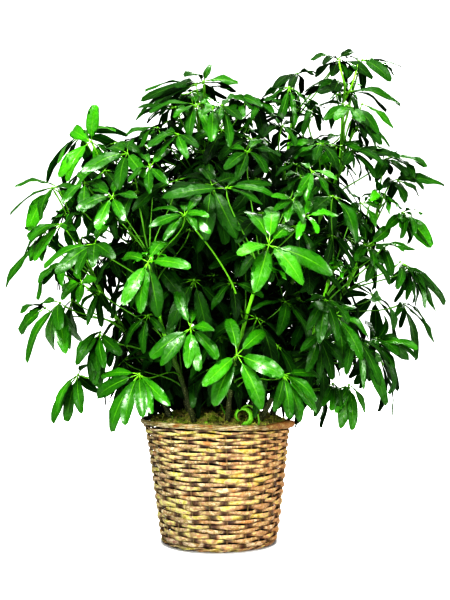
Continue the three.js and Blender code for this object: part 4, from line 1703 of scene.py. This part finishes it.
@dataclass
class InnerLeaves:
    """The leaves that fill the bush between the ones read from the front, spread evenly in its outer shell
    and each on the stem that is nearest to it.
    """

    bush: Bush
    seed: int = 23
    tries: int = 12000
    # How far apart the hubs are, and where they may be closer: low behind the front.
    apart: float = 50.0
    low_behind: float = -60.0
    low_zone: float = 320.0
    # The shell that the hubs lie in.
    largest: float = 0.90
    front_limit: float = 0.66
    back_limit: float = 300.0
    # Half the width of the band over the moss, and the height that the leaves in it keep above.
    band: Pair = (150.0, 226.0)
    band_depth: float = 20.0
    behind_moss: float = 200.0
    # The leaves' measures.
    first_leafy: int = 8
    usual_petiole: float = 90.0
    petiole: Pair = (45.0, 190.0)
    reach: Pair = (52.0, 86.0)
    droop: Pair = (16.0, 46.0)
    counts: tuple[int, ...] = (6, 7, 7, 8)
    width: Pair = (0.7, 0.98)
    # How much of a leaf's reach stays inside the outline and clear of the openings.
    edge_share: float = 0.6
    clear_share: float = 0.4
    # The lowest leaves, as (count, first bearing, least height, least radius, reach).
    skirts: tuple[tuple[int, float, float, float, float], ...] = (
        (18, 10, 258, 132, 71),
        (12, 24, 232, 120, 52),
    )
    skirt_petiole: float = 260.0
    skirt_droop: float = 46.0
    # The outline seen from the front, as (height, left, right).
    outline: tuple[Triple, ...] = (
        (205, -140, 210), (235, -182, 220), (285, -218, 277), (335, -210, 282), (385, -205, 268),
        (435, -273, 285), (485, -290, 300), (535, -275, 318), (585, -270, 318), (635, -262, 305),
        (668, -202, 262), (702, -140, 250), (735, -115, 250), (768, -85, 270), (800, 150, 262),
    )
    # The openings that one can look through from the front, as (x, height, radius).
    clearings: tuple[Triple, ...] = (
        (-202, 402, 25), (-215, 360, 23), (-255, 510, 12), (-215, 525, 12), (-193, 502, 12),
        (228, 605, 22), (288, 515, 12), (240, 460, 10), (278, 443, 12), (255, 405, 18),
        (285, 360, 22), (210, 272, 14), (102, 688, 20), (168, 685, 14), (60, 740, 24),
        (50, 785, 50), (-50, 790, 30), (-100, 765, 20), (282, 548, 10),
    )

    def seen(self, place: Vector) -> Vector:
        """Returns where a place looks to be on the plane through the basket's axis."""
        eye = Vector(self.bush.eye)
        return eye.lerp(place, -eye.y / (place.y - eye.y))

    def within_outline(self, x: float, height: float, reach: float) -> bool:
        """Returns whether a leaf's width at a height stays inside the outline seen from the front."""
        for (z0, left0, right0), (z1, left1, right1) in zip(self.outline, self.outline[1:]):
            if z0 <= height <= z1:
                share = (height - z0) / (z1 - z0)
                left, right = blend(left0, left1, share), blend(right0, right1, share)
                return left + reach * self.edge_share < x < right - reach * self.edge_share
        return False

    def open_view(self, hub: Vector, reach: float) -> bool:
        """Returns whether a leaf keeps to the outline and clear of the openings."""
        seen = self.seen(hub)
        if not self.within_outline(seen.x, seen.z, reach):
            return False
        if seen.z > self.low_zone and not self.within_outline(seen.x, seen.z - reach * 0.5, reach * 0.7):
            return False
        return all(
            math.hypot(seen.x - x, seen.z - reach * 0.3 - height) > radius + reach * self.clear_share
            for x, height, radius in self.clearings
        )

    def fits(self, hub: Vector, reach: float, taken: Sequence[Vector]) -> bool:
        """Returns whether a leaf lies in the shell and clear of the others."""
        if self.bush.shell_share(hub) > self.largest or hub.y + reach > self.back_limit:
            return False
        seen_low = self.seen(hub - UP * (reach * 0.8)).z
        half_band, over_moss = self.band
        in_band = abs(hub.x) < half_band and hub.y < self.band_depth
        if seen_low < (over_moss if in_band else self.behind_moss):
            return False
        if hub.y < -self.front_limit * self.bush.envelope_depth(hub.x, hub.z):
            return False
        if not self.open_view(hub, reach):
            return False
        dense = hub.z < self.low_zone and hub.y > self.low_behind
        apart = self.apart * (0.72 if dense else 1.0)
        return all((hub - other).length > apart for other in taken)

    def low_leaves(self, rng: random.Random) -> list[tuple[Vector, float]]:
        """Returns the hubs and the reach of the lowest leaves, which hang behind the moss."""
        found = []
        for count, first, low, near, reach in self.skirts:
            for i in range(count):
                share = (i + 0.5) / count
                bearing = math.radians(blend(first, 180 - first, share) + spread(rng, 4))
                radius = near + rng.uniform(0, 0.7 * reach)
                height = low + rng.uniform(0, 0.48 * reach)
                hub = Vector((radius * math.cos(bearing), radius * math.sin(bearing), height))
                found.append((hub, reach * rng.uniform(0.87, 1.12)))
        return found

    def grow(self, taken: list[Vector]) -> dict[str, list[Leaf]]:
        """Grows the leaves.

        Args:
            taken: The hubs of the leaves that are already placed. New hubs are added to it.

        Returns:
            The leaves, by their stem's name.
        """
        rng = random.Random(self.seed)
        bush = self.bush
        nodes = [(p, name) for name, curve in bush.curves.items() for p in curve.points[self.first_leafy :]]
        found: dict[str, list[Leaf]] = {name: [] for name in bush.curves}
        shortest, longest = self.petiole

        def plant(hub: Vector, reach: float, droop: float, limit: float) -> None:
            """Adds a leaf on the stem that is nearest to it, if its stalk is shorter than a limit."""
            wish = hub - bush.facing(hub) * self.usual_petiole
            foot, name = min(nodes, key=lambda node: (node[0] - wish).length)
            if not shortest < (hub - foot).length < limit:
                return
            taken.append(hub)
            normal = ((hub - foot).normalized() * 0.35 + UP * 0.35 + bush.facing(hub) * 0.6).normalized()
            tips = bush.umbrella(hub, normal, rng.choice(self.counts), reach, droop, rng)
            # painted shade: leaves deeper inside the bush get a darker green
            outer = smooth_step(0.55, 0.9, bush.shell_share(hub))
            light = rng.uniform(0.0, 0.12) + 0.26 * outer
            width = rng.uniform(*self.width)
            found[name].append(Leaf(hub, normal, tips, foot, light, 0.0, bush.outward(hub) * 0.45, width))

        for hub, reach in self.low_leaves(rng):
            plant(hub, reach, self.skirt_droop, self.skirt_petiole)
        for _ in range(self.tries):
            x, y = spread(rng, bush.half_width), spread(rng, bush.half_depth)
            height = rng.uniform(bush.middle - bush.half_height, bush.middle + bush.half_height)
            hub = Vector((x, y, height))
            reach = rng.uniform(*self.reach)
            if self.fits(hub, reach, taken):
                plant(hub, reach, rng.uniform(*self.droop), longest)
        return found


# -------------------------------- leaves and stems as meshes


@dataclass
class LeafMaker:
    """Turns leaves into meshes: a petiole, a knob at the hub, and leaflets that are folded along the
    midrib and arch over to their tips.
    """

    palette: Palette
    seed: int = 3
    # The blades, in shares of their length, and the thickness and the stalk in millimetres.
    half_width: float = 0.135
    stations: tuple[float, ...] = (0.0, 0.07, 0.15, 0.26, 0.4, 0.55, 0.7, 0.84, 0.94, 1.0)
    samples: int = 24
    stalk_share: float = 0.15
    stalk_radius: float = 0.95
    blade_thickness: float = 0.36
    swell: float = 0.75
    arch: float = 0.1
    fold: float = 0.42
    margin: float = 0.26
    # The unevenness of the blades.
    ripples: Pair = (0.8, 2.7)
    rng: random.Random = field(init=False)

    def __post_init__(self) -> None:
        """Seeds the unevenness."""
        self.rng = random.Random(self.seed)

    def leaflet(self, piece: Workpiece, leaf: Leaf, tip: Vector) -> None:
        """Adds one leaflet.

        Args:
            piece: The piece that it joins.
            leaf: Its leaf.
            tip: Its tip.
        """
        rng = self.rng
        chord = tip - leaf.hub
        length = chord.length
        lift = leaf.normal + UP * 0.4 + leaf.turned
        lift = (lift - chord * (lift.dot(chord) / length**2)).normalized()
        roll = math.radians(spread(rng, 20.0))
        ahead = chord.normalized()
        lift = (lift * math.cos(roll) + ahead.cross(lift) * math.sin(roll)).normalized()
        arch = self.arch * rng.uniform(0.7, 1.5)
        crest = leaf.hub.lerp(tip, 0.5) + lift * (2 * arch * length)
        path = Path.bezier([leaf.hub, crest, tip], self.samples)
        half = self.half_width * leaf.width * length * rng.uniform(0.88, 1.14)
        blunt = rng.uniform(0.5, 0.75)
        widest = self.swell / (self.swell + blunt)
        full = widest**self.swell * (1 - widest) ** blunt
        ripple = rng.uniform(*self.ripples)
        phase = rng.uniform(0, TAU)
        fold = self.fold * rng.uniform(0.6, 1.3)
        light = min(1.0, max(0.0, leaf.light + spread(rng, 0.2)))

        def width_at(along: float) -> float:
            """Returns the half width at a share of the length."""
            if along <= self.stalk_share:
                return self.stalk_radius
            share = (along - self.stalk_share) / (1 - self.stalk_share)
            return self.stalk_radius * (1 - share) + half * share**self.swell * (1 - share) ** blunt / full

        def place(around: float, row: float) -> Vector:
            """Returns the place of a point of the leaflet's skin."""
            along = self.stations[round(row * (len(self.stations) - 1))]
            i = round(along * self.samples)
            middle, heading = path.points[i], path.tangents[i]
            if along in (0.0, 1.0):
                return middle
            up = (lift - heading * lift.dot(heading)).normalized()
            out = heading.cross(up)
            upper = around <= 0.5
            side = 4 * around - 1 if upper else 3 - 4 * around
            width = width_at(along)
            blade = smooth_step(self.stalk_share, 0.3, along)
            thick = blend(self.stalk_radius, self.blade_thickness, blade) * (1 - side**4)
            height = width * blade * (fold * abs(side) - self.margin * side * side)
            lag = 1.3 if side > 0 else 0
            height += ripple * blade * side * side * math.sin(phase + 11.0 * along + lag)
            height += thick if upper else -thick
            return middle + out * (side * width) + up * height

        piece.sheet(
            8,
            len(self.stations) - 1,
            place,
            lambda *_: (leaf.youth, light, 0.0),
            creases=(0.0, 0.5, 1.0),
        )

    def leaf(self, piece: Workpiece, leaf: Leaf) -> None:
        """Adds a whole leaf.

        Args:
            piece: The piece that it joins.
            leaf: The leaf.
        """
        span = (leaf.hub - leaf.attach).length
        outward = Vector((leaf.hub.x, leaf.hub.y, 0)).normalized()
        controls = [
            leaf.attach,
            leaf.attach + UP * (0.3 * span) + outward * (0.15 * span),
            leaf.hub - leaf.normal * (0.3 * span),
            leaf.hub + leaf.normal * 1.0,
        ]

        def radius(share: float) -> float:
            """Returns the petiole's radius, which swells a little at the hub."""
            swelling = 0.8 * smooth_step(0.8, 1.0, share)
            return blend(1.9, 1.15, min(1.0, share * 2)) + swelling

        # painted shade: the petiole is darker and less green on leaves in shade
        piece.tube(
            Path.bezier(controls, 10),
            radius,
            6,
            lambda _, along: (blend(0.1, 0.3 + 0.6 * leaf.light, along), 1 - 0.8 * leaf.light * along, 0.0),
            slot=1,
        )
        # painted shade: the knob is darker on leaves in shade
        piece.knob(leaf.hub, 2.3, (0.5 + 0.5 * leaf.light, 1 - leaf.light, 0.0), slot=1)
        for tip in leaf.tips:
            self.leaflet(piece, leaf, tip)

    def make(self, name: str, leaves: Sequence[Leaf], slot: Slot, replaces: Sequence[str] = ()) -> None:
        """Makes a piece of one or more leaves.

        Args:
            name: The piece's name.
            leaves: The leaves.
            slot: The record's slot.
            replaces: The nodes that it stands for.
        """
        if not leaves:
            return
        piece = Workpiece(name)
        for leaf in leaves:
            self.leaf(piece, leaf)
        piece.finish([self.palette.leaf, self.palette.petiole], slot, replaces)


@dataclass
class StemMaker:
    """Turns the stems' centre lines into tapering stems with swollen nodes, with green twigs and tufts of
    young leaves at their tips.
    """

    palette: Palette
    bush: Bush
    seed: int = 9
    base_radius: float = 5.5
    tip_radius: float = 2.6
    rows: int = 60
    sides: int = 10
    twig_radius: Pair = (1.9, 1.2)
    bare: tuple[str, ...] = ("stem_top_right",)

    def stem(self, name: str) -> None:
        """Makes one stem.

        Args:
            name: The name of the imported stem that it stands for.
        """
        path = Path.spline([Vector(k) for k in STEMS[name]], self.rows)
        piece = Workpiece(name.replace("stem_", "woody_stem_"))

        def radius(along: float) -> float:
            """Returns the stem's radius at a share along."""
            taper = blend(self.base_radius, self.tip_radius, along)
            node = abs(math.sin(math.pi * along * self.rows / 4)) ** 6
            return taper * (0.94 + 0.16 * node)

        piece.tube(path, radius, self.sides, lambda _, along: (smooth_step(0.3, 0.9, along), 0.0, 0.0))
        piece.finish([self.palette.bark], Slot.BARK, [name])

    def tuft(self, name: str, maker: LeafMaker, rng: random.Random) -> None:
        """Makes the young leaves at a stem's tip.

        Args:
            name: The stem's name.
            maker: The maker of leaves.
            rng: The source of their unevenness.
        """
        curve = self.bush.curves[name]
        tip, way = curve.points[-1], curve.tangents[-1]
        leaves = []
        for i in range(3):
            bearing = math.radians(137.5 * i + spread(rng, 20))
            level = Vector((math.cos(bearing), math.sin(bearing), 0))
            heading = (way * 0.7 + level * 0.6 + UP * 0.3).normalized()
            hub = tip + heading * rng.uniform(14.0, 28.0)
            reach = rng.uniform(22.0, 36.0)
            droop = rng.uniform(-10.0, 25.0)
            tips = self.bush.umbrella(hub, heading, 6, reach, droop, rng)
            leaves.append(Leaf(hub, heading, tips, tip, 0.7, rng.uniform(0.3, 0.7)))
        maker.make(name.replace("stem_", "young_tuft_"), leaves, Slot.YOUNG)

    def twigs(self) -> None:
        """Makes the thin green twigs that branch from the stems."""
        piece = Workpiece("green_twigs")
        for shade, knots in TWIGS:
            # painted shade: a twig in shade is darker and less green
            piece.tube(
                Path.spline([Vector(k) for k in knots], 16),
                lambda share: blend(*self.twig_radius, share),
                8,
                lambda _, along, s=shade: (0.9 - 0.6 * s, s, 0.0),
            )
        piece.finish([self.palette.petiole], Slot.BARK)

    def build(self, maker: LeafMaker) -> None:
        """Makes all the stems, twigs and tufts.

        Args:
            maker: The maker of leaves.
        """
        rng = random.Random(self.seed)
        for name in STEMS:
            self.stem(name)
            if name not in self.bare:
                self.tuft(name, maker, rng)
        self.twigs()


# -------------------------------- studio


@dataclass
class Studio:
    """The floor, the lights and the camera. Places are in metres."""

    lens: float = 72.0
    sensor: float = 36.0
    eye: Triple = (0.010, -2.0, 0.445)
    pitch: float = math.degrees(math.atan(26 / 1200))
    # The floor's half size, its two greys, and its glow as (nearest, farthest, least, greatest).
    # Near the basket's foot the glow is left out, which paints a contact shadow.
    floor_size: float = 12.0
    floor_greys: Pair = (0.42, 0.46)
    contact_shadow_glow: tuple[float, ...] = (0.094, 0.102, 0.0, 0.75)
    far_glow: tuple[float, ...] = (0.2, 2.5, 0.0, 0.25)
    shadow_shift: Triple = (0.0, 0.007, 0.0)
    # The surroundings' strength as light, and how much stronger they are in reflections.
    ambient: float = 0.05
    gleam: float = 0.19
    # The height on the plant's axis that most lamps point at.
    aim: float = 0.42

    def camera(self) -> None:
        """Sets the camera where the plant is seen from."""
        data = bpy.data.cameras.new("eye")
        data.lens = self.lens
        data.sensor_fit = "VERTICAL"
        data.sensor_height = data.sensor_width = self.sensor
        camera = bpy.data.objects.new("eye", data)
        camera.location = self.eye
        camera.rotation_euler = (math.radians(90 - self.pitch), 0, 0)
        bpy.context.scene.collection.objects.link(camera)
        bpy.context.scene.camera = camera

    def floor(self) -> None:
        """Lays a plain pale floor that is brighter far away, where it meets the white surroundings."""
        mesh = bmesh.new()
        bmesh.ops.create_grid(mesh, x_segments=8, y_segments=8, size=self.floor_size)
        data = bpy.data.meshes.new("studio_floor")
        mesh.to_mesh(data)
        mesh.free()
        data.materials.append(self.floor_material())
        floor = bpy.data.objects.new("studio_floor", data)
        bpy.context.scene.collection.objects.link(floor)

    def floor_material(self) -> Material:
        """Makes the floor's material, which glows for the camera except round the basket's foot, where the
        missing glow paints a contact shadow.
        """
        canvas, shader = open_material("studio_floor")
        spot = canvas.add("TexCoord").outputs["Object"]
        cloud = mottle(canvas, spot, 3.0, 0.2, 0.8)
        low, high = self.floor_greys
        canvas.link(canvas.mix(cloud, (low, low, low), (high, high, high)), shader, "Base Color")
        shader.inputs["Roughness"].default_value = 0.9
        shader.inputs["Specular IOR Level"].default_value = 0.1
        shifted = canvas.add("VectorMath", {0: spot, 1: self.shadow_shift}, operation="ADD").outputs[0]
        reach = canvas.add("VectorMath", {0: shifted}, operation="LENGTH").outputs["Value"]
        # painted contact shadow: no glow within the near ring round the foot, shifted to the front
        glow = canvas.math("ADD", canvas.step(reach, *self.contact_shadow_glow), canvas.step(reach, *self.far_glow))
        seen = canvas.add("LightPath").outputs["Is Camera Ray"]
        shader.inputs["Emission Color"].default_value = (1, 1, 1, 1)
        canvas.link(canvas.times(glow, seen), shader, "Emission Strength")
        return bpy.data.materials["studio_floor"]

    def lamp(self, name: str, place: Triple, size: float, power: float, aim: float) -> None:
        """Hangs a square soft light.

        Args:
            name: Its name.
            place: Where it hangs.
            size: The length of its side.
            power: Its power in watts.
            aim: The height on the plant's axis that it points at.
        """
        data = bpy.data.lights.new(name, "AREA")
        data.size = size
        data.energy = power
        light = bpy.data.objects.new(name, data)
        light.location = place
        light.rotation_euler = (Vector((0, 0, aim)) - Vector(place)).to_track_quat("-Z", "Y").to_euler()
        bpy.context.scene.collection.objects.link(light)

    def lights(self) -> None:
        """Hangs the lights and sets the white surroundings."""
        self.lamp("key_light", (-0.7, -1.9, 2.5), 0.9, 116, self.aim)
        self.lamp("front_light", (0.9, -2.6, 0.6), 0.8, 16, 0.3)
        self.lamp("low_light", (-0.5, -1.7, 0.25), 0.35, 17, 0.1)
        self.lamp("top_light", (0.2, 0.3, 2.6), 1.0, 14, self.aim)
        self.lamp("side_light", (2.5, -0.2, 1.1), 1.0, 36, self.aim)
        self.lamp("back_light", (0.6, 2.6, 1.8), 1.2, 80, self.aim)
        world = bpy.data.worlds.new("white_room")
        world.use_nodes = True
        canvas = Canvas(world.node_tree)
        rays = canvas.add("LightPath").outputs
        shown = canvas.line(rays["Is Camera Ray"], 1.0 - self.ambient, self.ambient)
        strength = canvas.line(rays["Is Glossy Ray"], self.gleam, shown)
        background = world.node_tree.nodes["Background"]
        background.inputs["Color"].default_value = (1, 1, 1, 1)
        canvas.link(strength, background, "Strength")
        bpy.context.scene.world = world
        settings = bpy.context.scene.view_settings
        settings.view_transform = "Standard"
        settings.look = "Very High Contrast"

    def build(self) -> None:
        """Builds the studio."""
        self.camera()
        self.floor()
        self.lights()


def main() -> None:
    """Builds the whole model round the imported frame."""
    logging.basicConfig(level=logging.INFO, format="%(name)s %(message)s")
    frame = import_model()
    palette = Palette()
    Studio().build()
    Basket(palette).build()
    Filling(palette, frame["nodes"]).build()

    bush = Bush()
    maker = LeafMaker(palette)
    front = [bush.front_leaf(reading) for reading in FRONT_LEAVES]
    back = [bush.back_leaf(index) for index in range(BACK_LEAVES)]
    spray = [bush.front_leaf(reading) for reading in SPRAY_LEAVES]
    for number, leaf in enumerate([*front, *back], start=1):
        maker.make(f"foliage_{number:02d}", [leaf], Slot.LEAF, [f"leaf_{number:02d}"])
    sprays = math.ceil(len(spray) / LEAVES_PER_SPRAY)
    for number in range(sprays):
        maker.make(f"spray_{number + 1:02d}", spray[number::sprays], Slot.LEAF)
    taken = [leaf.hub for leaf in [*front, *back, *spray]]
    for name, leaves in InnerLeaves(bush).grow(taken).items():
        LOG.info("%s carries %d inner leaves", name, len(leaves))
        parts = max(1, round(len(leaves) / LEAVES_PER_INNER_PIECE))
        for part in range(parts):
            label = name.replace("stem_", "inner_leaves_")
            maker.make(f"{label}_{part + 1}", leaves[part::parts], Slot.LEAF)
    StemMaker(palette, bush).build(maker)


if __name__ == "__main__":
    main()
